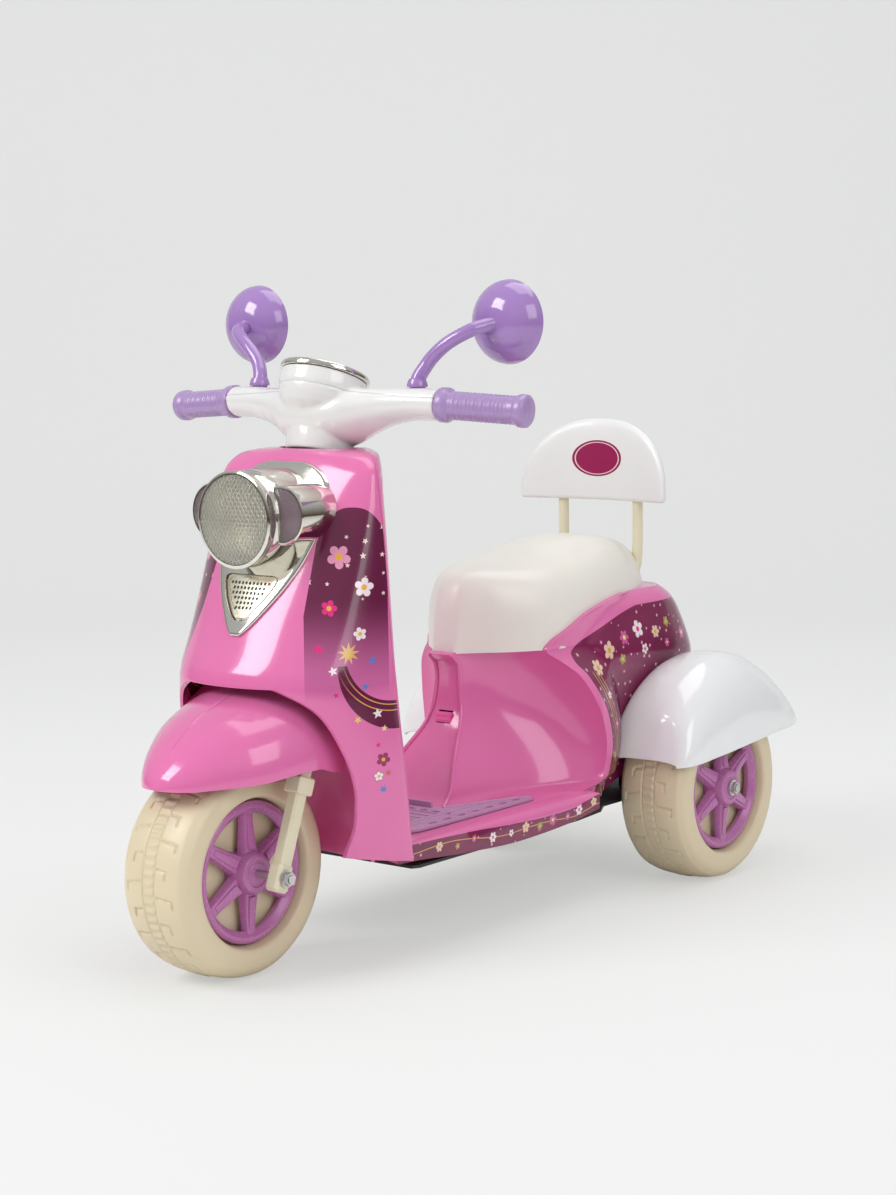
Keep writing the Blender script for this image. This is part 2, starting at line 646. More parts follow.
DIAL_TICKS = 24
tree, plain_colour, colour_input = opened(dial)
across, forward, _ = axes(own_place(tree))
along = minus(forward, POD_CENTRE_Y)
reach = calc("SQRT", plus(times(across, across), times(along, along)))
bearing = calc("ARCTAN2", across, along)
tick_phase = magnitude(minus(calc("FRACT", times(bearing, DIAL_TICKS / (2 * math.pi))), 0.5))
tick = times(is_above(tick_phase, 0.42), times(is_above(reach, 0.026), is_below(reach, 0.032)))
pointer = times(is_below(magnitude(minus(across, times(along, -0.5))), 0.0009),
                times(is_below(reach, 0.024), is_below(along, 0.0)))
colour = mix_colour(is_above(reach, 0.0335), plain_colour, (0.62, 0.10, 0.30, 1))
marks = larger(tick, larger(is_below(reach, 0.0045), pointer))
tree.links.new(mix_colour(marks, colour, (0.16, 0.01, 0.09, 1)), colour_input)
dial_mesh = turned("gauge_face", [(NEAR_AXIS, 0.4720), (0.0360, 0.4720), (0.0364, 0.4760),
                                  (NEAR_AXIS, 0.4766)], 64)
dial_mesh.transform(POD_PLACE)
dress(put("printed_gauge_face", dial_mesh, dial, STEERING, sharp=40), "steering",
      "gauge_face")

# The grips
# Soft lavender sleeves over the bar's ends, with a flange at each end and rows of moulded
# ribs between them.

lavender = plastic("lavender_plastic", (0.40, 0.265, 0.51), 0.26, drift=0.05, rubbing=0.12,
                   skin=0.4, depth=0.00006, coat=0.2, scatter=0.05)
GRIP_HALF = (0.2205 - 0.1290) / 2 / math.cos(BAR_SWEEP)
grip_view = [(NEAR_AXIS, GRIP_HALF), (0.0110, GRIP_HALF), (0.0135, GRIP_HALF - 0.0006),
             (0.0152, GRIP_HALF - 0.0022), (0.0155, GRIP_HALF - 0.0050),
             (0.0155, GRIP_HALF - 0.0085), (0.0148, GRIP_HALF - 0.0105),
             (0.0136, GRIP_HALF - 0.0125)]
grip_view += [(0.0135, z) for z in np.linspace(GRIP_HALF - 0.0135, -GRIP_HALF + 0.0135, 56)]
grip_view += [(0.0137, -GRIP_HALF + 0.0125), (0.0158, -GRIP_HALF + 0.0105),
              (0.0165, -GRIP_HALF + 0.0085), (0.0165, -GRIP_HALF + 0.0022),
              (0.0158, -GRIP_HALF + 0.0006), (0.0140, -GRIP_HALF), (0.0078, -GRIP_HALF),
              (0.0078, GRIP_HALF - 0.0065), (NEAR_AXIS, GRIP_HALF - 0.0065)]
GRIP_STEPS = 120
RIB_PITCH, RIB_HEIGHT = 0.0042, 0.0008
grip_turns = np.linspace(0, 2 * math.pi, GRIP_STEPS, endpoint=False)
grip_rows = []
for r, z in grip_view:
    radius = np.full(GRIP_STEPS, r)
    if abs(z) < GRIP_HALF - 0.013 and 0.013 < r < 0.0136:
        rib = np.abs((z / RIB_PITCH) % 1.0 - 0.5)
        window = rising(-np.abs(np.sin(grip_turns * 2)), -0.93, -0.86)
        window = window * rising(-abs(z), -GRIP_HALF + 0.0165, -GRIP_HALF + 0.0180)
        radius = radius - RIB_HEIGHT * window * rising(rib, 0.20, 0.30)
    grip_rows.append(np.stack([radius * np.cos(grip_turns), radius * np.sin(grip_turns),
                               np.full(GRIP_STEPS, z)], 1))
grip_rows.append(grip_rows[0])
for name, side in (("grip_left", 1), ("grip_right", -1)):
    middle_place = Matrix.Translation((side * 0.17475, 0.01725, 0.457))
    lying = Matrix.Rotation(side * math.pi / 2, 4, "Y")
    turn_out = Matrix.Rotation(side * BAR_SWEEP, 4, "Z") @ lying
    dress(put("ribbed_" + name, grid_mesh(name, grip_rows, around=True), lavender,
              STEERING @ middle_place @ turn_out, sharp=50), "steering", name)
finish_nodes(lavender, ("horn_button", "music_button"))

# The mirrors
# Each is a domed disc on a thick bent arm, in glossy purple plastic. The side that faces the
# rider has a foil mirror. The arm turns in the handlebar and the head tilts on the arm.

purple = plastic("purple_mirror", (0.36, 0.205, 0.50), 0.13, drift=0.04, rubbing=0.08, skin=0.10,
                 depth=0.00005, coat=0.6, dust=0.03)
foil = metal("mirror_foil", (0.86, 0.87, 0.88), 0.03, 0.02, (30.0, 30.0, 30.0), dulling=0.01)


def tube(name, path, radii, sides=24):
    """A closed bar along a smooth path, with its own radius at each point."""
    path = np.asarray(path, float)
    ways = np.gradient(path, axis=0)
    ways /= np.linalg.norm(ways, axis=1)[:, None]
    across = np.cross(ways[0], (0.0, 0.0, 1.0) if abs(ways[0][2]) < 0.9 else (1.0, 0.0, 0.0))
    turns = np.linspace(0, 2 * math.pi, sides, endpoint=False)
    rings = []
    for point, way, radius in zip(path, ways, radii):
        across = across - way * across.dot(way)
        across /= np.linalg.norm(across)
        up = np.cross(way, across)
        rings.append([point + radius * (math.cos(t) * across + math.sin(t) * up) for t in turns])
    return solid(name, rings)


SIDES = (("left", 1), ("right", -1))
reach_points = [(0.0, 0.0, -0.0105), (0.0, 0.0010, 0.0040), (0.0069, 0.0065, 0.0200),
                (0.0255, 0.0110, 0.0380), (0.0480, 0.0220, 0.0515), (0.0575, 0.0420, 0.0570)]
head_view = [(NEAR_AXIS, 0.0270), (0.0130, 0.0258), (0.0250, 0.0212), (0.0340, 0.0135),
             (0.0388, 0.0055), (0.0400, 0.0), (0.0394, -0.0010), (0.0378, -0.0010),
             (0.0370, 0.0008), (0.0355, 0.0012), (NEAR_AXIS, 0.0012)]
for side_name, side in SIDES:
    base = VEHICLE @ Matrix.Translation((side * 0.1005, 0.170, 0.542))
    points = smooth_rows(reach_points, 8)
    points[:, 0] *= side
    radii = np.interp(np.linspace(0, 1, len(points)), [0, 0.15, 0.4, 0.75, 1],
                      [0.0074, 0.0074, 0.0068, 0.0066, 0.0072])
    collar = turned("collar", [(NEAR_AXIS, -0.001), (0.0100, -0.001), (0.0100, 0.001),
                               (0.0090, 0.0045), (0.0076, 0.0070), (NEAR_AXIS, 0.0070)], 48)
    dress(put("mirror_stalk_" + side_name, joined("arm", [tube("arm", points, radii), collar]),
              purple, base, sharp=50), side_name + "_mirror_arm",
          "mirror_arm_" + side_name)
    head_place = VEHICLE @ Matrix.Translation((side * 0.160, 0.235, 0.6005))
    face_forward = head_place @ Matrix.Rotation(math.pi / 2, 4, "X")
    dome = smooth_rows(head_view[:6], 5).tolist() + head_view[6:]
    dress(put("mirror_shell_" + side_name, turned("head", dome, 72), purple, face_forward,
              sharp=40), side_name + "_mirror_head", "mirror_head_" + side_name)
    sheet_view = [(NEAR_AXIS, 0.0003), (0.0345, 0.0003), (0.0352, 0.0010), (NEAR_AXIS, 0.0016)]
    dress(put("mirror_sheet_" + side_name, turned("sheet", sheet_view, 64), foil, face_forward,
              sharp=30), side_name + "_mirror_head")

# The front shield
# A deep pink shell round the column, open below for the wheel. Film transfers cover its
# sides: a plum window that fades into the pink, small stars and blossoms, and a plum band.

SHIELD = [(0.092, 0.1270, 0.030, 0.1230, 0.1500), (0.190, 0.1230, 0.010, 0.1150, 0.1560),
          (0.235, 0.1190, 0.003, 0.1125, 0.1570), (0.268, 0.1160, 0.001, 0.1115, 0.1580),
          (0.280, 0.1145, 0.003, 0.1115, 0.1580), (0.315, 0.1115, 0.022, 0.1120, 0.1590),
          (0.400, 0.1040, 0.063, 0.1135, 0.1640), (0.440, 0.0995, 0.082, 0.1135, 0.1700),
          (0.461, 0.0955, 0.0925, 0.1150, 0.1765), (0.472, 0.0890, 0.0985, 0.1200, 0.1805),
          (0.479, 0.0790, 0.1030, 0.1270, 0.1868), (0.4825, 0.0600, 0.1075, 0.1350, 0.1893),
          (0.4840, 0.0405, 0.1100, 0.1440, 0.1890)]
SHIELD_POWER = 2.15
ARCH = [(0.0126, 0.2700), (0.0370, 0.2455), (0.0505, 0.2180), (0.0600, 0.1900), (0.0640, 0.1650),
        (0.0640, 0.1450), (0.0620, 0.1300), (0.0600, 0.1220)]


def arc_row(z, half, middle_y, side_y, power, count):
    """A row bent like a flattened ellipse, from the right edge round to the left edge."""
    row = []
    for t in np.linspace(-math.pi / 2, math.pi / 2, 2 * count - 1):
        c, s = max(0.0, math.cos(t)), math.sin(t)
        row.append((half * signed_power(s, 2 / power),
                    side_y + (middle_y - side_y) * c ** (2 / power), z))
    return row


def shield_at(z):
    """Half width, nose and rear edge of the shield at a height."""
    heights = SHIELD_DENSE[:, 0]
    return [float(np.interp(z, heights, SHIELD_DENSE[:, k])) for k in (1, 2, 3)]


def shield_front_y(x, z):
    half, nose, rear = shield_at(z)
    bend = max(0.0, 1 - (abs(x) / half) ** SHIELD_POWER) ** (1 / SHIELD_POWER)
    return rear - (rear - nose) * bend


def shield_side_x(y, z):
    half, nose, rear = shield_at(z)
    ahead = max(rear - y, 0.0) / (rear - nose)
    return half * max(0.0, 1 - ahead ** SHIELD_POWER) ** (1 / SHIELD_POWER)


def seam_tool(far_y, shift):
    """All that lies on one side of the line where the shield meets the leg panel."""
    rings = []
    for z, _, _, rear, _ in SHIELD_DENSE:
        near_y = rear + shift
        rings.append([(-0.3, far_y, z), (0.3, far_y, z), (0.3, near_y, z), (-0.3, near_y, z)])
    return solid("seam", rings)


SHIELD_DENSE = smooth_rows(SHIELD, 6)
shield_rows = [arc_row(z, half, nose, rear, SHIELD_POWER, 34)
               for z, half, nose, rear, _ in SHIELD_DENSE]
shield_mesh = shell(grid_mesh("front_shield", shield_rows, facing=(0, -1, 0)), WALL, 0.0)
arch_line = smooth_rows(ARCH, 6).tolist()
opening = [(-0.2, 0.27)] + arch_line + [(0.058, 0.111), (0.125, 0.0998), (0.2, 0.0875), (0.2, 0.0),
                                        (-0.2, 0.0)]
tool = solid("opening", [[(x, y, z) for y, z in opening] for x in (-0.3, 0.3)])
shield_mesh = cut(shield_mesh, tool)
shield_mesh = cut(shield_mesh, seam_tool(0.5, 0.00015))
shield_mesh = eased(shield_mesh, 0.0006)

# Printed figures, each a mask over a flat pair of coordinates: a star with straight sides, a
# blossom with its eye, and a strewing of small stars with one in each cell.


PRINT_EDGE = 0.00025


def vectors(operation, inputs):
    """One step of vector arithmetic, as its node."""
    return node(tree_of(*inputs.values()), "ShaderNodeVectorMath", inputs, operation=operation)


def polar(delta, turn):
    """Length and turned angle of a flat offset."""
    x, y, _ = axes(delta)
    reach = vectors("LENGTH", {0: delta}).outputs["Value"]
    return reach, plus(calc("ARCTAN2", y, x), turn)


def inside(limit, reach, edge=PRINT_EDGE):
    """1 inside the limit and 0 outside, over a narrow printed edge."""
    share = mul_add(minus(limit, reach), 1 / edge, 0.5)
    return node(tree_of(share), "ShaderNodeClamp", {0: share}).outputs[0]


def star_limit(angle, size, points, inner):
    """How far a star with straight sides reaches at an angle."""
    phase = calc("FRACT", divided(times(angle, points), 2 * math.pi))
    notch = times(magnitude(minus(phase, 0.5)), 2.0)
    depth = node(tree_of(angle), "ShaderNodeMath", {0: 1.0, 1: inner}, operation="DIVIDE")
    return divided(size, mul_add(minus(depth.outputs[0], 1.0), notch, 1.0))


ORIGIN = (0.0, 0.0, 0.0)
star_print, given, result = new_group(
    "printed_star", {"Place": ORIGIN, "Centre": ORIGIN, "Size": 0.004, "Points": 5.0,
                     "Inner": 0.42, "Turn": 0.0}, {"Mask": "Float"})
delta = vectors("SUBTRACT", {0: given["Place"], 1: given["Centre"]}).outputs[0]
reach, angle = polar(delta, given["Turn"])
limit = star_limit(angle, given["Size"], given["Points"], given["Inner"])
deliver(result, Mask=inside(limit, reach))

blossom_print, given, result = new_group(
    "printed_blossom", {"Place": ORIGIN, "Centre": ORIGIN, "Size": 0.005, "Petals": 5.0,
                        "Turn": 0.0}, {"Petal": "Float", "Eye": "Float", "Outline": "Float"})
delta = vectors("SUBTRACT", {0: given["Place"], 1: given["Centre"]}).outputs[0]
reach, angle = polar(delta, given["Turn"])
lobe = magnitude(calc("COSINE", times(times(angle, given["Petals"]), 0.5)))
limit = times(given["Size"], mul_add(calc("POWER", lobe, 0.6), 0.52, 0.48))
deliver(result, Petal=inside(limit, reach), Eye=inside(times(given["Size"], 0.30), reach),
        Outline=inside(plus(limit, 0.0005), reach))

strewn_print, given, result = new_group(
    "strewn_stars", {"Place": ORIGIN, "Spacing": 0.015, "Size": 0.003, "Points": 5.0,
                     "Share": 0.7}, {"Mask": "Float"})
finer = divided(1.0, given["Spacing"])
cells = vectors("SCALE", {0: given["Place"], "Scale": finer}).outputs[0]
seeds = node(strewn_print, "ShaderNodeTexVoronoi",
             {"Vector": cells, "Scale": 1.0, "Randomness": 0.62}, voronoi_dimensions="2D")
away = vectors("SUBTRACT", {0: cells, 1: seeds.outputs["Position"]}).outputs[0]
x, y, _ = axes(vectors("SCALE", {0: away, "Scale": given["Spacing"]}).outputs[0])
flat_delta = node(strewn_print, "ShaderNodeCombineXYZ", {0: x, 1: y}).outputs[0]
chance = node(strewn_print, "ShaderNodeSeparateColor", {0: seeds.outputs["Color"]}).outputs
reach, angle = polar(flat_delta, times(chance[1], 6.0))
grown = times(given["Size"], mul_add(chance[2], 0.7, 0.5))
limit = star_limit(angle, grown, given["Points"], 0.45)
deliver(result, Mask=times(inside(limit, reach), is_below(chance[0], given["Share"])))

PLUM = (0.125, 0.004, 0.045, 1)
GOLD = (0.72, 0.42, 0.10, 1)
CREAM_PRINT = (0.86, 0.66, 0.60, 1)
ROSE_PRINT = (0.72, 0.02, 0.20, 1)
BLUE_PRINT = (0.10, 0.20, 0.55, 1)
WHITE_PRINT = (0.88, 0.74, 0.78, 1)


def both_of(*masks):
    made = masks[0]
    for mask in masks[1:]:
        made = times(made, mask)
    return made


def printed(ink, colour, kind, place, within=(), **values):
    """Lays a figure, or a strewing of them, over a colour where the masks allow it."""
    figure = node(tree_of(place), "ShaderNodeGroup", {"Place": place, **values}, node_tree=kind)
    return mix_colour(both_of(figure.outputs[0], *within), colour, ink)


def blossom(colour, place, centre, size, turn=0.0, petal=WHITE_PRINT,
            eye=(0.80, 0.42, 0.04, 1), petals=5.0):
    """Lays a blossom with its dark outline and its eye over a colour."""
    values = {"Place": place, "Centre": (*centre, 0.0), "Size": size, "Petals": petals,
              "Turn": turn}
    figure = node(tree_of(place), "ShaderNodeGroup", values, node_tree=blossom_print)
    for part, ink in (("Outline", (0.20, 0.006, 0.07, 1)), ("Petal", petal), ("Eye", eye)):
        colour = mix_colour(figure.outputs[part], colour, ink)
    return colour


def less(value, limit, edge=PRINT_EDGE):
    """1 where the value is below the limit, over a narrow printed edge."""
    return inside(limit, value, edge)


shield_pink = plastic("printed_pink_shield", PINK, 0.16, drift=0.03, rubbing=0.10, skin=0.10,
                      coat=0.5, dust=0.04)
tree, plain_colour, colour_input = opened(shield_pink)
x, y, v = axes(own_place(tree))
u = plus(times(magnitude(x), 0.75), times(y, 0.66))
flat = node(tree, "ShaderNodeCombineXYZ", {0: u, 1: v}).outputs[0]
# the window: a rounded arch with a leaning front edge, dark above and clear below
lean = mul_add(larger(minus(v, 0.335), 0.0), 0.20, 0.0775)
roof = mul_add(calc("POWER", magnitude(minus(u, 0.1245)), 2.6), -215.0, 0.4325)
window = both_of(less(lean, u), less(v, roof), less(u, 0.1555), less(0.2640, v, 0.012))
fade = span(v, 0.262, 0.352, interpolation_type="SMOOTHSTEP")
film = mix_colour(fade, (0.60, 0.13, 0.34, 1), PLUM)
colour = mix_colour(window, plain_colour, film)
# the band: a crescent that sweeps back from the window's foot, with two gold lines
near, far = (vectors("DISTANCE", {0: flat, 1: centre}).outputs["Value"]
             for centre in ((0.168, 0.287, 0.0), (0.1635, 0.302, 0.0)))
band = both_of(less(near, 0.0600), less(0.0485, far), less(v, 0.2900))
colour = mix_colour(band, colour, PLUM)
for radius in (0.0520, 0.0575):
    line = magnitude(minus(far, radius))
    on_line = both_of(less(line, 0.00045), less(v, 0.288), less(0.118, u, 0.02))
    colour = mix_colour(on_line, colour, GOLD)
colour = printed(CREAM_PRINT, colour, strewn_print, flat, (window, less(0.345, v)),
                 Spacing=0.0165, Size=0.0027, Points=5.0, Share=0.62)
for centre, size, turn, petal in (((0.1110, 0.3880), 0.0110, 0.3, (0.78, 0.30, 0.46, 1)),
                                  ((0.1335, 0.3600), 0.0090, 1.1, WHITE_PRINT),
                                  ((0.1010, 0.3420), 0.0075, 0.0, ROSE_PRINT),
                                  ((0.1290, 0.3180), 0.0062, 0.7, WHITE_PRINT),
                                  ((0.1485, 0.2010), 0.0060, 0.2, (0.30, 0.01, 0.10, 1)),
                                  ((0.1440, 0.1860), 0.0045, 0.9, WHITE_PRINT)):
    colour = blossom(colour, flat, centre, size, turn, petal)
for centre, size, points, turn, ink in (((0.1180, 0.3010), 0.0105, 9.0, 0.2, GOLD),
                                        ((0.0905, 0.3060), 0.0058, 5.0, 0.4, ROSE_PRINT),
                                        ((0.1035, 0.2860), 0.0046, 5.0, 0.0, WHITE_PRINT),
                                        ((0.1400, 0.2930), 0.0044, 5.0, 0.9, BLUE_PRINT),
                                        ((0.1060, 0.2640), 0.0030, 5.0, 0.1, ROSE_PRINT),
                                        ((0.1330, 0.2700), 0.0038, 5.0, 0.6, BLUE_PRINT),
                                        ((0.1440, 0.2440), 0.0050, 5.0, 0.2, WHITE_PRINT),
                                        ((0.1255, 0.2400), 0.0036, 5.0, 1.0, (0.80, 0.62, 0.10, 1)),
                                        ((0.1500, 0.2295), 0.0032, 5.0, 0.5, (0.80, 0.66, 0.30, 1)),
                                        ((0.1440, 0.2150), 0.0030, 6.0, 0.0, ROSE_PRINT),
                                        ((0.1530, 0.1880), 0.0034, 6.0, 0.0, (0.62, 0.10, 0.05, 1)),
                                        ((0.1480, 0.1735), 0.0042, 6.0, 0.3, BLUE_PRINT)):
    colour = printed(ink, colour, star_print, flat, Centre=(*centre, 0.0), Size=size, Points=points,
                     Turn=turn)
tree.links.new(colour, colour_input)
dress(put("printed_front_shield", shield_mesh, shield_pink, VEHICLE, sharp=40), "frame",
      "front_shield")

# The wheel well
# The skin behind the wheel that closes the shield from within, with a long oval pressed into
# each side and the boss for the column's lower bearing.

WELL = [(0.1215, 0.0955), (0.1290, 0.1300), (0.1300, 0.1700), (0.1240, 0.2080), (0.1130, 0.2400),
        (0.0950, 0.2640), (0.0700, 0.2790), (0.0400, 0.2860)]
well_rows = []
for y, z in smooth_rows(WELL, 5):
    roof_share = float(rising(z, 0.24, 0.26))
    side_x = shield_at(z)[0] - 5 * WALL
    side_y = shield_front_y(side_x, z) + 2 * WALL
    roof_x = shield_side_x(y, z) - 2.2 * WALL
    edge_x, edge_y = side_x + (roof_x - side_x) * roof_share, side_y + (y - side_y) * roof_share
    row = []
    for s in np.linspace(-1, 1, 49):
        share = abs(s)
        oval = math.hypot((share - 0.72) / 0.20, (z - 0.170) / 0.062)
        groove = 0.0012 * float(rising(-abs(oval - 1.0), -0.10, -0.02))
        row.append((edge_x * s, y + (edge_y - y) * share ** 2.6 + groove, z))
    well_rows.append(row)
well_mesh = shell(grid_mesh("wheel_well", well_rows, facing=(0, -1, 0)), WALL)
guard = shell(grid_mesh("guard", shield_rows, facing=(0, -1, 0)), WALL + 0.0004, 0.0)
well_mesh = cut(well_mesh, guard)
well_mesh = cut(well_mesh, box_mesh("foot", (-0.2, 0.0, 0.05), (0.2, 0.112, 0.1050)))
boss = turned("boss", [(0.0130, 0.186), (0.0175, 0.186), (0.0175, 0.215), (0.0130, 0.215)], 48)
boss.transform(RAKED)
well_pink = plastic("pink_well", (0.90, 0.14, 0.42), 0.34, drift=0.05, rubbing=0.15, skin=0.4,
                    coat=0.1)
dress(put("wheel_well", joined("wheel_well", [well_mesh, boss]), well_pink, VEHICLE, sharp=45),
      "frame", "wheel_well_panel")

# The leg panel
# The pink wall that faces the rider's legs. It closes the shield along a fine seam, and its
# bracket holds the column's upper bearing.

LEG_POWER = 1.6
panel_table = [(z, half, back, rear) for z, half, _, rear, back in SHIELD_DENSE if z > 0.1163]
panel_rows = [arc_row(z, half, back, rear + 0.0003, LEG_POWER, 30)
              for z, half, back, rear in panel_table]
panel_mesh = shell(grid_mesh("leg_panel", panel_rows, facing=(0, 1, 0)), WALL, 0.0)
panel_mesh = cut(panel_mesh, seam_tool(-0.2, 0.00045))
# its rim stays clear of the turning bar
off_steering = RAKED.inverted()
for vert in panel_mesh.vertices:
    point = off_steering @ vert.co
    reach = math.hypot(point.x, point.y)
    roof = float(np.interp(reach, (0.0358, 0.0380, 0.0450, 0.0550, 0.0750),
                           (0.4125, 0.4138, 0.4175, 0.4235, 0.4320)))
    if reach < 0.0750 and point.z > roof:
        vert.co = RAKED @ Vector((point.x, point.y, roof))
panel_mesh = eased(panel_mesh, 0.0005)
plate = box_mesh("bracket", (-0.028, -0.018, 0.374), (0.028, 0.0368, 0.378))
plate.transform(RAKED)
dress(put("leg_panel_wall", joined("leg_panel", [panel_mesh, plate]), pink, VEHICLE, sharp=40),
      "frame", "leg_panel")
black = plastic("black_plastic", (0.022, 0.022, 0.025), 0.45, skin=0.8, dust=0.15)
finish_nodes(black, ("steering_bush_upper", "steering_bush_lower", "speaker"))

# The body
# Floor, pedestal and rear cowl in one deep pink moulding with a hollow on each side for the
# rider's heels. A plum film runs along the skirt and up the cowl, with blossoms and gold lines.

BODY_LEVELS = [(0.1165, 0.0500, 0.2620, 0.1130, 0.4150, 0.0985, 0.6700),
               (0.1220, 0.0470, 0.2720, 0.1180, 0.4320, 0.0985, 0.6800),
               (0.1310, 0.0450, 0.2810, 0.1220, 0.4410, 0.0985, 0.6880),
               (0.1600, 0.0340, 0.3020, 0.1220, 0.4485, 0.0985, 0.7000),
               (0.1890, 0.0225, 0.3265, 0.1205, 0.4440, 0.0985, 0.7060),
               (0.2100, 0.0180, 0.3345, 0.1160, 0.4370, 0.0990, 0.7080),
               (0.2350, 0.0155, 0.3365, 0.1060, 0.4245, 0.0990, 0.7060),
               (0.2500, 0.0155, 0.3340, 0.0920, 0.4120, 0.0980, 0.7020),
               (0.2620, 0.0150, 0.3230, 0.0790, 0.4020, 0.0960, 0.6980),
               (0.2720, 0.0150, 0.3950, 0.0830, 0.4100, 0.0935, 0.6930),
               (0.2850, 0.0150, 0.4150, 0.0885, 0.4360, 0.0900, 0.6840),
               (0.2960, 0.0150, 0.4400, 0.0895, 0.4620, 0.0870, 0.6720),
               (0.3035, 0.0150, 0.4700, 0.0885, 0.4920, 0.0825, 0.6600),
               (0.3095, 0.0150, 0.5080, 0.0850, 0.5300, 0.0745, 0.6480)]
SKIRT = [(0.100, 0.0985, 0.1150), (0.130, 0.0975, 0.1145), (0.214, 0.0905, 0.1115),
         (0.295, 0.0865, 0.1065), (0.364, 0.0885, 0.1045), (0.410, 0.0925, 0.1090),
         (0.440, 0.0975, 0.1130), (0.480, 0.1090, 0.1150), (0.520, 0.1180, 0.1155),
         (0.720, 0.1240, 0.1160)]
FLOOR_SIDE = [(0.0, 0.1350), (0.050, 0.1330), (0.092, 0.1180), (0.1205, 0.1080), (0.1215, 0.1400),
              (0.122, 0.2000), (0.122, 0.2650), (0.122, 0.3350), (0.122, 0.4250)]
COWL = [(0.17, 1.004), (0.25, 1.01), (0.42, 1.0), (0.62, 1.0), (0.78, 0.94), (0.895, 0.80),
        (0.965, 0.55), (0.992, 0.26)]
FLOOR_Z = 0.116
SEAT_BASE_Z = 0.262
BODY_BOTTOM_Z = 0.060
FRONT_STEPS = np.concatenate([np.linspace(0, 2, 9), np.linspace(2, 8, 25)[1:]])
SKIRT_DENSE = smooth_rows(SKIRT, 5)


def cowl_side(half, flange_x, flange_y, tail):
    """Plan points from the flange round the rear wheel's inner side to the tail's middle."""
    length = tail - flange_y
    row = [(flange_x + 0.0005, flange_y + 0.035 * length)]
    for k, (share, width) in enumerate(COWL):
        wide = half * width + ((flange_x - half) * 0.5 if k == 0 else 0.0)
        row.append((wide, flange_y + share * length))
    return smooth_rows(row + [(0.0, tail)], 5).tolist()


def body_level(level, inset=0.0):
    """Half plan of the pedestal and cowl at one level, with its wall drawn in by an inset."""
    z, front_x, front_y, flange_x, flange_y, half, tail = level
    row = []
    for s in FRONT_STEPS[:-1]:
        if s <= 2:
            x = float(np.interp(s, (0, 1, 2), (0.0, front_x * 0.6, front_x - inset * 0.7)))
            shift = inset * float(np.interp(s, (0, 1, 2), (1, 1, 0.7)))
            row.append((x, front_y + 0.001 * s + shift, z))
        else:
            t = math.pi / 2 * (s - 2) / 6
            row.append((front_x + (flange_x - front_x) * (1 - math.cos(t)) - inset * math.cos(t),
                        front_y + (flange_y - front_y) * math.sin(t) + inset * math.sin(t), z))
    row.append((flange_x - inset, flange_y + inset, z))
    side = cowl_side(half, flange_x, flange_y, tail)
    for k, (x, y) in enumerate(side):
        turned_in = math.pi / 2 * float(rising(k, 25, len(side) - 1))
        row.append((x - inset * math.cos(turned_in) if k < len(side) - 1 else 0.0,
                    y - inset * math.sin(turned_in) + (inset if k == 0 else 0.0), z))
    return row


def floor_ring(inset, height=None):
    """Half plan of the floor at an inset from its edge, at one height or along the rim."""
    half, tail = BODY_LEVELS[0][5:]
    corner_x, corner_y = FLOOR_SIDE[3]
    side = [(x, y + inset) for x, y in FLOOR_SIDE[:3]] + [(corner_x - inset, corner_y + inset)]
    side += [(x - inset, y) for x, y in FLOOR_SIDE[4:]]
    knots = np.array(side)
    side = [(float(np.interp(s, range(9), knots[:, 0])),
             float(np.interp(s, range(9), knots[:, 1]))) for s in FRONT_STEPS]
    outline = side + cowl_side(half, *FLOOR_SIDE[-1], tail)
    return [(x, y, float(np.interp(y, SKIRT_DENSE[:, 0], SKIRT_DENSE[:, 2])) if height is None
             else height) for x, y in outline]


def whole(half):
    """Both halves of a plan whose first and last points are on the middle line."""
    return [(-x, y, z) for x, y, z in half[-2:0:-1]] + list(half)


def body_rows():
    """Floor edge and rim, then the pedestal and cowl, from the bottom up."""
    levels = [body_level(level) for level in smooth_rows(BODY_LEVELS, 5)]
    low = floor_ring(0.003, BODY_BOTTOM_Z)
    rows = [floor_ring(0.0), floor_ring(0.0012), floor_ring(0.0035), floor_ring(0.0065),
            floor_ring(0.0105), floor_ring(0.015, FLOOR_Z)]
    rim = rows[0]
    for row, lift in zip(rows[1:5], (0.35, 0.72, 0.90, 0.98)):
        for i, (x, y, z) in enumerate(row):
            row[i] = (x, y, z + (FLOOR_Z - z) * lift)
    foot = levels[0]
    rise = (foot[0][2] - BODY_BOTTOM_Z) / 7
    side_start = len(FRONT_STEPS) - 1
    for i in range(side_start, len(rim)):
        for k, row in enumerate(rows[1:], 1):
            share = k / 6
            row[i] = tuple(a * (1 - share) + b * share for a, b in zip(rim[i], foot[i]))
        if i > side_start + 1:
            low[i] = (foot[i][0], foot[i][1], BODY_BOTTOM_Z)
            for k, row in enumerate(rows, 1):
                row[i] = (foot[i][0], foot[i][1], BODY_BOTTOM_Z + k * rise)
    return [low] + rows + levels


def level_at(z):
    table = np.array(BODY_LEVELS)
    return (z, *(float(np.interp(z, table[:, 0], table[:, k])) for k in range(1, 7)))


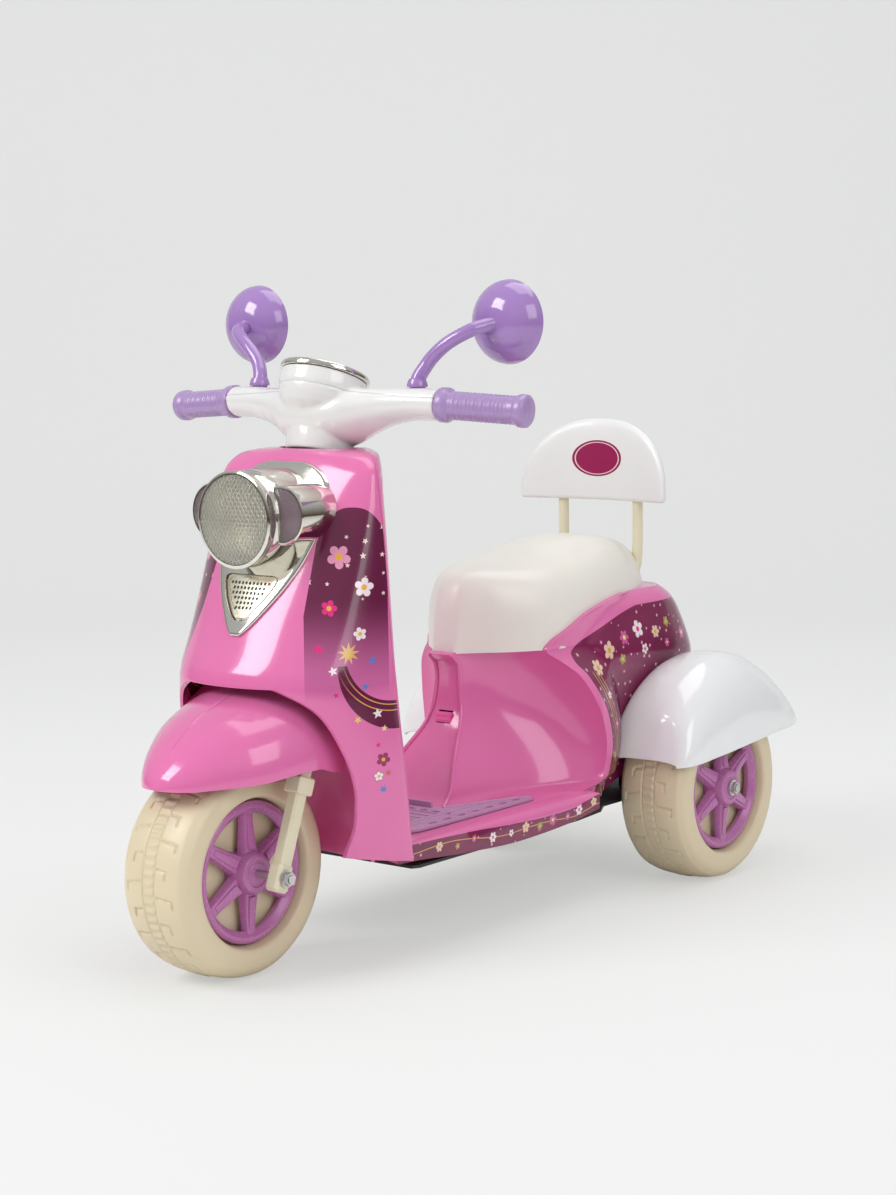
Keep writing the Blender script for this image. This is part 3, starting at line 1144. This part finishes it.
top = SEAT_BASE_Z - 0.0045
core_levels = [(BODY_BOTTOM_Z - 0.02, *BODY_LEVELS[0][1:])]
core_levels += [level for level in BODY_LEVELS if level[0] < top - 0.003]
core_levels.append(level_at(top))
core = solid("core", [whole(body_level(level, WALL)) for level in core_levels])
floor_rings = []
for inset, z in ((2 * WALL, BODY_BOTTOM_Z - 0.02), (2 * WALL, FLOOR_Z - 2.6 * WALL),
                 (5 * WALL, FLOOR_Z - WALL)):
    floor_half = floor_ring(inset, z)
    inner = body_level((z, *BODY_LEVELS[0][1:]), WALL)
    floor_half[len(FRONT_STEPS):] = inner[len(FRONT_STEPS):]
    floor_rings.append(whole(floor_half))
edge = [(y, low) for y, low, _ in SKIRT_DENSE]
below = [(0.0, edge[0][1])] + edge + [(0.85, edge[-1][1]), (0.85, 0.0), (0.0, 0.0)]
body_mesh = solid("main_body", [whole(row) for row in body_rows()])
for tool in (solid("skirt_edge", [[(x, y, z) for y, z in below] for x in (-0.3, 0.3)]),
             core, solid("floor_core", floor_rings)):
    body_mesh = cut(body_mesh, tool)
SWITCH_Y = level_at(0.196)[2]
body_mesh = cut(body_mesh, box_mesh("switch_window", (-0.0094, SWITCH_Y - 0.03, 0.1896),
                                    (0.0094, SWITCH_Y + 0.03, 0.2024)))
# a raised bead down each edge of the pedestal, that runs out along the floor
beads = []
for side in (-1, 1):
    path = [(side * (x + 0.0002), y + 0.0010, z) for z, x, y in
            [level[:3] for level in smooth_rows([level[:3] for level in BODY_LEVELS[:9]], 4)]]
    path = path[::-1] + [(side * 0.0535, 0.2570, 0.1163), (side * 0.0600, 0.2530, 0.1160)]
    beads.append(tube("bead", path, np.full(len(path), 0.0021), 12))


def curve_through(value, table):
    """A value looked up in a table of pairs, smooth between them."""
    first, last = table[0][0], table[-1][0]
    low, high = min(b for _, b in table), max(b for _, b in table)
    made = node(tree_of(value), "ShaderNodeFloatCurve", {"Value": span(value, first, last)})
    points = made.mapping.curves[0].points
    places = [((a - first) / (last - first), (b - low) / (high - low)) for a, b in table]
    while len(points) < len(places):
        points.new(0.5, 0.5)
    for point, at in zip(points, places):
        point.location = at
    made.mapping.update()
    return mul_add(made.outputs[0], high - low, low)


body_pink = plastic("printed_pink_body", PINK, 0.17, drift=0.03, skin=0.12, coat=0.45, dust=0.05)
tree, plain_colour, colour_input = opened(body_pink)
x, along, v = axes(own_place(tree))
wide = magnitude(x)
flat = node(tree, "ShaderNodeCombineXYZ", {0: along, 1: v}).outputs[0]
face_x = axes(node(tree, "ShaderNodeNewGeometry").outputs["Normal"])[0]
outward = both_of(is_above(times(face_x, x), 0.0), is_above(wide, 0.070))
rim_height = curve_through(along, [(y, rim) for y, _, rim in SKIRT])
front_edge = curve_through(v, [
    (0.100, 0.436), (0.131, 0.452), (0.160, 0.4595), (0.189, 0.4555), (0.210, 0.4490),
    (0.235, 0.4370), (0.250, 0.4310), (0.262, 0.4420), (0.272, 0.4620), (0.285, 0.5050),
    (0.296, 0.5600)])
on_skirt = both_of(less(v, minus(rim_height, 0.0008)), is_below(along, 0.470),
                   is_above(wide, 0.1185))
on_cowl = both_of(less(front_edge, along), less(v, 0.2950), outward)
film_place = larger(on_skirt, on_cowl)
film = mix_colour(noise(tree, 14.0, 1.0, flat), (0.26, 0.008, 0.085, 1), PLUM)
colour = mix_colour(film_place, plain_colour, film)
# gold lines: along the skirt, then three that bend up in front of the rear fender
skirt_line = mul_add(calc("SINE", times(along, 42.0)), 0.0022, minus(rim_height, 0.0085))
line = both_of(less(magnitude(minus(v, skirt_line)), 0.0004), on_skirt)
for step in (0.012, 0.017, 0.0225):
    away = magnitude(minus(minus(along, front_edge), step))
    line = larger(line, both_of(less(away, 0.00055), on_cowl, less(v, 0.236, 0.004)))
colour = mix_colour(line, colour, GOLD)
colour = printed((0.80, 0.45, 0.50, 1), colour, strewn_print, flat, (film_place,),
                 Spacing=0.0125, Size=0.0021, Points=5.0, Share=0.5)
SKIRT_BLOSSOMS = ((0.168, 0.1045, 0.0052), (0.196, 0.1000, 0.0034), (0.222, 0.1030, 0.0040),
                  (0.252, 0.0985, 0.0056), (0.282, 0.0975, 0.0038), (0.306, 0.0990, 0.0058),
                  (0.330, 0.0960, 0.0044), (0.352, 0.0985, 0.0060), (0.378, 0.0975, 0.0040),
                  (0.398, 0.1010, 0.0060), (0.424, 0.1050, 0.0050))
COWL_BLOSSOMS = ((0.458, 0.1220, 0.0070), (0.469, 0.1460, 0.0052), (0.478, 0.1790, 0.0064),
                 (0.470, 0.2100, 0.0042), (0.462, 0.2390, 0.0085), (0.488, 0.2540, 0.0100),
                 (0.512, 0.2420, 0.0060), (0.520, 0.2640, 0.0080), (0.548, 0.2700, 0.0095),
                 (0.556, 0.2480, 0.0060), (0.580, 0.2640, 0.0070), (0.606, 0.2720, 0.0060),
                 (0.640, 0.2560, 0.0075), (0.600, 0.2500, 0.0050))
INKS = (((0.80, 0.56, 0.42, 1), (0.70, 0.36, 0.05, 1)), (WHITE_PRINT, (0.72, 0.06, 0.22, 1)),
        ((0.62, 0.10, 0.30, 1), (0.85, 0.70, 0.30, 1)),
        ((0.40, 0.34, 0.08, 1), (0.66, 0.52, 0.20, 1)))
for k, (y, z, size) in enumerate(SKIRT_BLOSSOMS + COWL_BLOSSOMS):
    petal, eye = INKS[(k * 3 + k // 4) % 4]
    colour = blossom(colour, flat, (y, z), size, 0.7 * k, petal, eye, 5.0 if k % 3 else 6.0)
colour = mix_colour(film_place, plain_colour, colour)
tree.links.new(colour, colour_input)
dress(put("printed_main_body", joined("main_body", [body_mesh] + beads), body_pink, VEHICLE,
          sharp=38), "frame", "main_body")
finish_nodes(black, ("under_pan", "battery", "gearbox_housing", "accelerator_pedal"))
finish_nodes(well_pink, ("direction_switch",))
finish_nodes(zinc, ("motor",))
gear_white = plastic("gear_plastic", (0.74, 0.72, 0.66), 0.4, dust=0.1)
finish_nodes(gear_white, ("output_gear", "motor_pinion"))

# The floor mat
# A lavender rubber-like plate on the floor, with raised ribs, a row of oval holes, and its
# rear edge folded up against the pedestal.

MAT_OUTLINE = [(0.0, 0.1620), (0.060, 0.1600), (0.084, 0.1520), (0.0950, 0.1560), (0.0990, 0.1660),
               (0.1000, 0.2000), (0.1000, 0.2800), (0.1000, 0.3350), (0.0985, 0.3510),
               (0.0930, 0.3500), (0.0820, 0.3330), (0.0720, 0.3080), (0.0630, 0.2800),
               (0.0540, 0.2580), (0.0500, 0.2545), (0.0, 0.2530)]
MAT_Z = 0.1168
MAT_THICK = 0.0025
outline = smooth_rows(MAT_OUTLINE, 4, straight=(0, 5, 6)).tolist()
outline = [(-x, y) for x, y in outline[-2:0:-1]] + outline
mat_mesh = solid("mat", [[(x, y, z) for x, y in outline] for z in (MAT_Z, MAT_Z + MAT_THICK)])
mat_mesh = cut(mat_mesh, box_mesh("pedal_room", (-0.078, 0.13, 0.10), (-0.032, 0.2415, 0.15)))
holes = []
for side in (-1, 1):
    ovals = [(0.0905, 0.196 + 0.0225 * k, 0.0028, 0.0062) for k in range(7)]
    ovals += [(0.014 + 0.0155 * k, 0.2385, 0.0055, 0.0024) for k in range(5)]
    for x, y, half_x, half_y in ovals:
        if side < 0 and 0.028 < x < 0.082:
            continue
        hole = turned("hole", drum_view(1.0, MAT_Z - 0.01, MAT_Z + 0.01), 24)
        hole.transform(Matrix.Translation((side * x, y, 0))
                       @ Matrix.Diagonal((half_x, half_y, 1, 1)))
        holes.append(hole)
mat_mesh = eased(cut(mat_mesh, joined("holes", holes)), 0.0005)


def rib(start, end, radius):
    """A straight raised rib on the mat's top."""
    middle = tuple((a + b) / 2 for a, b in zip(start, end))
    path = [(*point, MAT_Z + MAT_THICK) for point in (start, middle, end)]
    return tube("rib", path, (radius,) * 3, 12)


FOLD = [(0.0560, 0.2560), (0.0660, 0.2860), (0.0750, 0.3120), (0.0850, 0.3360), (0.0950, 0.3490)]
ribs = []
for side in (-1, 1):
    for x, last in ((0.083, 0.330), (0.0745, 0.306)):
        ribs.append(rib((side * x, 0.172), (side * x, last), 0.0011))
    ribs.append(tube("fold", [(side * x, y, MAT_Z + 0.0022) for x, y in FOLD], (0.0016,) * 5, 12))
for y in (0.180, 0.1925, 0.205, 0.2175, 0.230):
    ribs.append(rib((-0.028, y), (0.068, y), 0.0010))
for low, high in ((-0.046, -0.010), (-0.004, 0.046)):
    tab = box_mesh("tab", (low, 0.2495, MAT_Z), (high, 0.2525, MAT_Z + 0.0085))
    ribs.append(worked(tab, "BEVEL", width=0.0009, segments=2))
mat = plastic("lavender_mat", (0.50, 0.27, 0.46), 0.42, drift=0.06, rubbing=0.15, skin=1.2,
              depth=0.00012, dust=0.10)
dress(put("ribbed_floor_mat", joined("mat", [mat_mesh] + ribs), mat, VEHICLE, sharp=40), "frame",
      "floor_mat")

# The seat
# A hollow satin moulding, ivory white, that sits on the deck and over the cowl's shoulders.
# A soft ridge runs round its rear.

SEAT = [(0.3300, 0.0140, 0.2700, 3.0), (0.3325, 0.0160, 0.2850, 3.0), (0.3370, 0.0190, 0.3100, 3.0),
        (0.3450, 0.0260, 0.3330, 3.0), (0.3540, 0.0350, 0.3420, 3.0), (0.3650, 0.0470, 0.3465, 3.0),
        (0.3830, 0.0620, 0.3480, 3.2), (0.4020, 0.0740, 0.3490, 3.4), (0.4300, 0.0830, 0.3515, 3.6),
        (0.4700, 0.0850, 0.3580, 3.6), (0.5100, 0.0835, 0.3650, 3.6), (0.5400, 0.0800, 0.3680, 3.6),
        (0.5650, 0.0755, 0.3672, 3.5), (0.5900, 0.0680, 0.3630, 3.4), (0.6150, 0.0570, 0.3560, 3.2),
        (0.6350, 0.0440, 0.3470, 3.0), (0.6500, 0.0310, 0.3350, 2.6), (0.6590, 0.0190, 0.3180, 2.4),
        (0.6620, 0.0120, 0.3050, 2.2)]
seat_rings = []
for y, half, top, power in smooth_rows(SEAT, 5):
    ring = []
    for t in np.linspace(0, math.pi, 61):
        c, s = math.cos(t), max(0.0, math.sin(t))
        x = half * signed_power(c, 2 / power)
        z = SEAT_BASE_Z + 0.0003 + (top - SEAT_BASE_Z) * s ** (2 / power)
        line_y = 0.5720 - 0.55 * max(0.0, 0.340 - z) + 0.9 * x * x
        groove = 0.0016 * max(0.0, 1 - abs(y - line_y) / 0.0035)
        ring.append((x * (1 - groove / half), y, z - groove * s))
    seat_rings.append(ring)
seat_mesh = solid("seat", seat_rings)
satin = plastic("satin_seat", (0.82, 0.785, 0.715), 0.30, drift=0.05, rubbing=0.18, skin=0.9,
                depth=0.00010, dust=0.05, coat=0.12, scatter=0.08)
dress(put("satin_seat", seat_mesh, satin, VEHICLE, sharp=60), "frame", "seat")

# The backrest
# A half-round white pad, hollow and blow-moulded, on two bent ivory tubes. A plain plum oval
# is stuck on its front.

BACK_LEVELS = [(0.0, 0.965, 0.62), (0.02, 0.99, 0.86), (0.06, 1.0, 1.0), (0.30, 1.0, 1.0),
               (0.55, 1.0, 1.0), (0.75, 1.0, 0.98), (0.87, 1.0, 0.93), (0.95, 1.0, 0.80),
               (0.985, 1.0, 0.58), (0.997, 1.0, 0.30)]
BACK_HALF_WIDTH, BACK_THICK, BACK_CORNER = 0.0965, 0.0165, 0.55
back_rings = []
for share, wide, thick in smooth_rows(BACK_LEVELS, 4):
    half = BACK_HALF_WIDTH * wide * (1 - share ** 2.5) ** (1 / 2.2)
    depth = BACK_THICK / 2 * thick
    ring = []
    for t in np.linspace(0, 2 * math.pi, 72, endpoint=False):
        c, s = math.cos(t), math.sin(t)
        x = half * signed_power(c, BACK_CORNER)
        y = depth * signed_power(s, BACK_CORNER)
        ring.append((x, 0.6145 + 0.006 * share - 0.017 * (x / BACK_HALF_WIDTH) ** 2 + y,
                     0.402 + 0.090 * share))
    back_rings.append(ring)
back_white = plastic("printed_backrest", (0.79, 0.785, 0.77), 0.28, drift=0.04, rubbing=0.14,
                     skin=0.6, depth=0.00008, coat=0.2, scatter=0.05)
BADGE_HALF_WIDTH, BADGE_HALF_HEIGHT, BADGE_Z = 0.0330, 0.0200, 0.4480
tree, plain_colour, colour_input = opened(back_white)
x, y, z = axes(own_place(tree))
badge_x = divided(x, BADGE_HALF_WIDTH)
badge_z = divided(minus(z, BADGE_Z), BADGE_HALF_HEIGHT)
oval = calc("SQRT", plus(times(badge_x, badge_x), times(badge_z, badge_z)))
front_only = is_below(y, 0.6150)
colour = mix_colour(both_of(less(oval, 1.0, 0.01), front_only), plain_colour,
                    (0.30, 0.004, 0.075, 1))
rim_line = both_of(less(magnitude(minus(oval, 0.88)), 0.022, 0.01), front_only)
tree.links.new(mix_colour(rim_line, colour, (0.80, 0.62, 0.66, 1)), colour_input)
dress(put("white_backrest", solid("backrest", back_rings), back_white, VEHICLE, sharp=60), "frame",
      "backrest")
post_bends = [(0.5940, 0.2626), (0.5955, 0.2900), (0.6040, 0.3170), (0.6130, 0.3400),
              (0.6145, 0.3700), (0.6145, 0.4255)]
for side_name, side in SIDES:
    path = smooth_rows([(side * 0.050, y, z) for y, z in post_bends], 8)
    dress(put("bent_post_" + side_name, tube("post", path, np.full(len(path), 0.0058), 32), ivory,
              VEHICLE, sharp=50), "frame", "backrest_post_" + side_name)

# The rear fenders
# A glossy white hood over each rear wheel, clipped to the cowl's side. A soft fold runs down
# its outer face.

REAR_FENDER = [(0.4870, 0.1420, 0.1365, 0.1370, 0.1830), (0.4930, 0.1620, 0.1370, 0.1500, 0.1900),
               (0.5020, 0.1850, 0.1376, 0.1680, 0.1940), (0.5200, 0.2080, 0.1390, 0.1880, 0.1970),
               (0.5450, 0.2270, 0.1410, 0.2040, 0.1975), (0.5750, 0.2395, 0.1435, 0.2150, 0.1985),
               (0.6050, 0.2435, 0.1460, 0.2200, 0.1985), (0.6350, 0.2390, 0.1482, 0.2180, 0.1980),
               (0.6650, 0.2270, 0.1500, 0.2080, 0.1970), (0.6950, 0.2070, 0.1510, 0.1900, 0.1945),
               (0.7180, 0.1860, 0.1512, 0.1740, 0.1895), (0.7380, 0.1660, 0.1505, 0.1590, 0.1800),
               (0.7480, 0.1545, 0.1490, 0.1510, 0.1700)]
INNER_X, CREST_X, FLANGE_Z = 0.0990, 0.1500, 0.1450
hood_white = plastic("white_hood", (0.86, 0.865, 0.865), 0.12, drift=0.02, rubbing=0.08, skin=0.08,
                     depth=0.00005, coat=0.6, dust=0.03)
for side_name, side in SIDES:
    rows = []
    for y, crest, low, inner, outer_x in smooth_rows(REAR_FENDER, 6):
        foot = min(FLANGE_Z, inner - 0.004)
        row = [(INNER_X, y, foot + (inner - foot) * s) for s in (0.0, 0.33, 0.66)]
        for t in np.linspace(0, math.pi / 2, 17)[:-1]:
            row.append((CREST_X - (CREST_X - INNER_X) * math.cos(t) ** 0.85, y,
                        inner + (crest - inner) * math.sin(t) ** 0.85))
        for t in np.linspace(math.pi / 2, 0, 25):
            row.append((CREST_X + (outer_x - CREST_X) * max(0.0, math.cos(t)) ** 0.85, y,
                        low + (crest - low) * math.sin(t) ** 0.85))
        rows.append([(side * x, yy, z) for x, yy, z in row])
    hood_mesh = shell(grid_mesh("hood", rows, facing=(side, 0, 1)), WALL, 0.0009)
    dress(put("white_hood_" + side_name, hood_mesh, hood_white, VEHICLE, sharp=45), "frame",
          "rear_fender_" + side_name)

# The tail lenses
# Dark red oval lenses let into the cowl's shoulders.

lens_red = plastic("red_lens", (0.33, 0.012, 0.022), 0.08, skin=0.2, coat=0.8, dust=0.0)
tree, plain_colour, colour_input = opened(lens_red)
wave = node(tree, "ShaderNodeTexWave", {"Vector": own_place(tree), "Scale": 130.0})
tree.links.new(mix_colour(wave.outputs["Fac"], (0.22, 0.006, 0.012, 1), plain_colour),
               colour_input)
for side_name, side in SIDES:
    lens_view = [(max(NEAR_AXIS, math.cos(t)), math.sin(t))
                 for t in np.linspace(-math.pi / 2, math.pi / 2, 25)]
    ball = turned("tail_lens", lens_view, 48)
    swung = Matrix.Rotation(side * math.radians(25), 4, "Y")
    lean = Matrix.Rotation(math.radians(-40), 4, "X") @ swung
    ball.transform(Matrix.Translation((side * 0.0480, 0.6640, 0.2840)) @ lean
                   @ Matrix.Diagonal((0.0135, 0.0190, 0.0100, 1.0)))
    dress(put("red_tail_lens_" + side_name, ball, lens_red, VEHICLE), "frame",
          "tail_lens_" + side_name)

# The headlight
# A chrome-plated plastic plate on the shield's front, shaped like a drop, with one large
# barrel and a smaller one on each side. All three are for show, with clear moulded lenses.

BEZEL = [(0.3150, 0.0045), (0.3180, 0.0090), (0.3245, 0.0155), (0.3350, 0.0240), (0.3600, 0.0415),
         (0.3850, 0.0530), (0.4200, 0.0605), (0.4400, 0.0605), (0.4520, 0.0570), (0.4620, 0.0485),
         (0.4690, 0.0355), (0.4730, 0.0200)]
GRILLE = [(0.3290, 0.0040), (0.3320, 0.0095), (0.3400, 0.0175), (0.3550, 0.0285), (0.3640, 0.0325),
          (0.3680, 0.0315), (0.3700, 0.0260)]
LAMP_Z, LAMP_FACE_Y = 0.4225, 0.022
SIDE_LAMP = (0.043, 0.040, 0.427)


def on_shield(name, table, proud, deep, soft):
    """A plate of a given outline that follows the shield's face, with a rounded rim."""
    shares = np.concatenate([[-1.0, -0.985, -0.96, -0.93], np.linspace(-0.88, 0.88, 25),
                             [0.93, 0.96, 0.985, 1.0]])
    rings = []
    for z, half in table:
        front, back = [], []
        end = min(1.0, min(z - table[0][0], table[-1][0] - z) / soft)
        for share in shares:
            x = half * share
            rim = min(1.0, (half - abs(x)) / soft, end)
            lift = proud * (0.35 + 0.65 * math.sqrt(max(0.0, 1 - (1 - rim) ** 2)))
            front.append((x, shield_front_y(x, z) - lift, z))
            back.append((x, shield_front_y(x, z) + deep, z))
        rings.append(front + back[::-1])
    return solid(name, rings)


def facing_front(name, profile, place, steps=72):
    """A turned piece whose top points forward, along -Y."""
    mesh = turned(name, profile, steps)
    mesh.transform(Matrix.Translation(place) @ Matrix.Rotation(math.pi / 2, 4, "X"))
    return mesh


bezel_mesh = on_shield("bezel", smooth_rows(BEZEL, 5), 0.004, 0.006, 0.0040)
bezel_mesh = cut(bezel_mesh, on_shield("opening",
                                       smooth_rows([(z, half + 0.0006) for z, half in GRILLE], 3),
                                       0.02, 0.02, 0.001))
main_view = [(0.0440, 0.0), (0.0455, -0.0010), (0.0455, -0.0060), (0.0446, -0.0075),
             (0.0446, -0.0100), (0.0455, -0.0115), (0.0450, -0.0300), (0.0440, -0.0850),
             (0.0420, -0.0850), (0.0420, -0.0310), (0.0300, -0.0250), (0.0140, -0.0310),
             (NEAR_AXIS, -0.0330), (NEAR_AXIS, -0.0310), (0.0130, -0.0290), (0.0290, -0.0222),
             (0.0400, -0.0110), (0.0418, -0.0050), (0.0423, 0.0)]
main_barrel = facing_front("barrel", main_view, (0.0, LAMP_FACE_Y, LAMP_Z), 96)
barrels = [main_barrel]
for side in (-1, 1):
    side_view_points = [(0.0262, 0.0), (0.0275, -0.0010), (0.0275, -0.0330), (0.0265, -0.0720),
                        (0.0245, -0.0720), (0.0240, -0.0200), (0.0140, -0.0180),
                        (NEAR_AXIS, -0.0180), (NEAR_AXIS, -0.0150), (0.0130, -0.0140),
                        (0.0235, -0.0090), (0.0247, -0.0050), (0.0251, 0.0)]
    small = facing_front("side_barrel", side_view_points, (side * SIDE_LAMP[0], *SIDE_LAMP[1:]), 72)
    clear = facing_front("clear", drum_view(0.0442, 0.03, -0.12), (0.0, LAMP_FACE_Y, LAMP_Z), 64)
    barrels.append(cut(small, clear))
guard_rings = [arc_row(z, half - 0.0006, nose + 0.0006, rear + 0.05, SHIELD_POWER, 34)
               for z, half, nose, rear, _ in SHIELD_DENSE]
inner_guard = solid("inside", guard_rings)
barrels = [cut(mesh, inner_guard) for mesh in barrels]
dress(put("plated_headlight", joined("bezel", [bezel_mesh] + barrels), plated, VEHICLE, sharp=35),
      "frame", "headlight_bezel")


def clear_lens(name, tint, cells, rows):
    """Clear moulded plastic with a pressed pattern of small prisms behind its face."""
    made, tree = new_material(name)
    x, _, z = axes(own_place(tree))
    prism = times(calc("SINE", times(x, cells)), calc("SINE", times(z, rows)))
    haze = noise(tree, 300.0, 2.0)
    bump = node(tree, "ShaderNodeBump", {"Height": prism, "Distance": 0.00065, "Strength": 1.0})
    cell = span(mul_add(haze, 0.5, prism), -0.35, 0.75)
    shaded = (*(0.64 * part for part in tint[:3]), 1)
    surfaced(tree, {"Base Color": mix_colour(cell, shaded, tint), "Normal": bump.outputs[0],
                    "Roughness": mul_add(haze, 0.12, 0.04), "Transmission Weight": 0.72,
                    "IOR": 1.45, "Coat Weight": 0.6})
    return made


main_clear = clear_lens("clear_lens", (0.97, 0.94, 0.80, 1), 1350.0, 800.0)
side_clear = clear_lens("pink_lens", (0.80, 0.60, 0.68, 1), 2600.0, 2600.0)
dome = [(NEAR_AXIS, 0.0050), (0.0150, 0.0043), (0.0280, 0.0026), (0.0370, 0.0009), (0.0415, 0.0),
        (0.0420, -0.0008), (0.0420, -0.0030), (NEAR_AXIS, -0.0022)]
dress(put("clear_headlight_lens", facing_front("lens", smooth_rows(dome[:5], 4).tolist() + dome[5:],
                                               (0.0, LAMP_FACE_Y, LAMP_Z), 96), main_clear, VEHICLE,
          sharp=40), "frame", "headlight_lens")
for side_name, side in SIDES:
    small_dome = [(r * 0.0248 / 0.0420, z * 0.8) for r, z in dome]
    small_lens = facing_front("side_lens", small_dome, (side * SIDE_LAMP[0], *SIDE_LAMP[1:]), 64)
    clear = facing_front("clear", drum_view(0.0458, 0.03, -0.12), (0.0, LAMP_FACE_Y, LAMP_Z), 64)
    dress(put("clear_side_lens_" + side_name, cut(small_lens, clear), side_clear, VEHICLE,
              sharp=40), "frame", "indicator_lens_" + side_name)

# The speaker grille
# A rounded triangle with the same plating, a raised rim and a grid of small holes. Dark cloth
# lies behind the holes, in front of the speaker.

grille_mesh = on_shield("grille", smooth_rows([(z, half - 0.0004) for z, half in GRILLE], 4),
                        0.0030, 0.0060, 0.0028)
inner_panel = on_shield("panel", smooth_rows([(0.3345, 0.0030), (0.3370, 0.0075), (0.3430, 0.0145),
                                              (0.3560, 0.0240), (0.3625, 0.0275), (0.3655, 0.0268),
                                              (0.3668, 0.0220)], 3), 0.02, -0.0021, 0.001)
grille_mesh = cut(grille_mesh, inner_panel)
sound_holes = []
for row_number in range(6):
    z = 0.3400 + 0.0044 * row_number
    half = float(np.interp(z, [g[0] for g in GRILLE], [g[1] for g in GRILLE])) - 0.0078
    count = int(half / 0.0046)
    for k in range(-count, count + 1):
        x = 0.0046 * k
        front = shield_front_y(x, z)
        sound_holes.append(facing_front("hole", [(NEAR_AXIS, 0.004), (0.0015, 0.004),
                                                 (0.0015, -0.0014), (NEAR_AXIS, -0.0018)],
                                        (x, front, z), 12))
grille_mesh = cut(grille_mesh, joined("holes", sound_holes))
cloth_mesh = on_shield("cloth", smooth_rows([(z, half - 0.0050) for z, half in GRILLE[1:]], 3),
                       0.0009, 0.0005, 0.0010)
dress(put("dark_speaker_cloth", cloth_mesh, black, VEHICLE, sharp=40), "frame")
grille_chrome = metal("brushed_plating", (0.70, 0.66, 0.53), 0.20, 0.16, (500.0, 60.0, 500.0))
dress(put("plated_speaker_grille", grille_mesh, grille_chrome, VEHICLE, sharp=35), "frame",
      "speaker_grille")
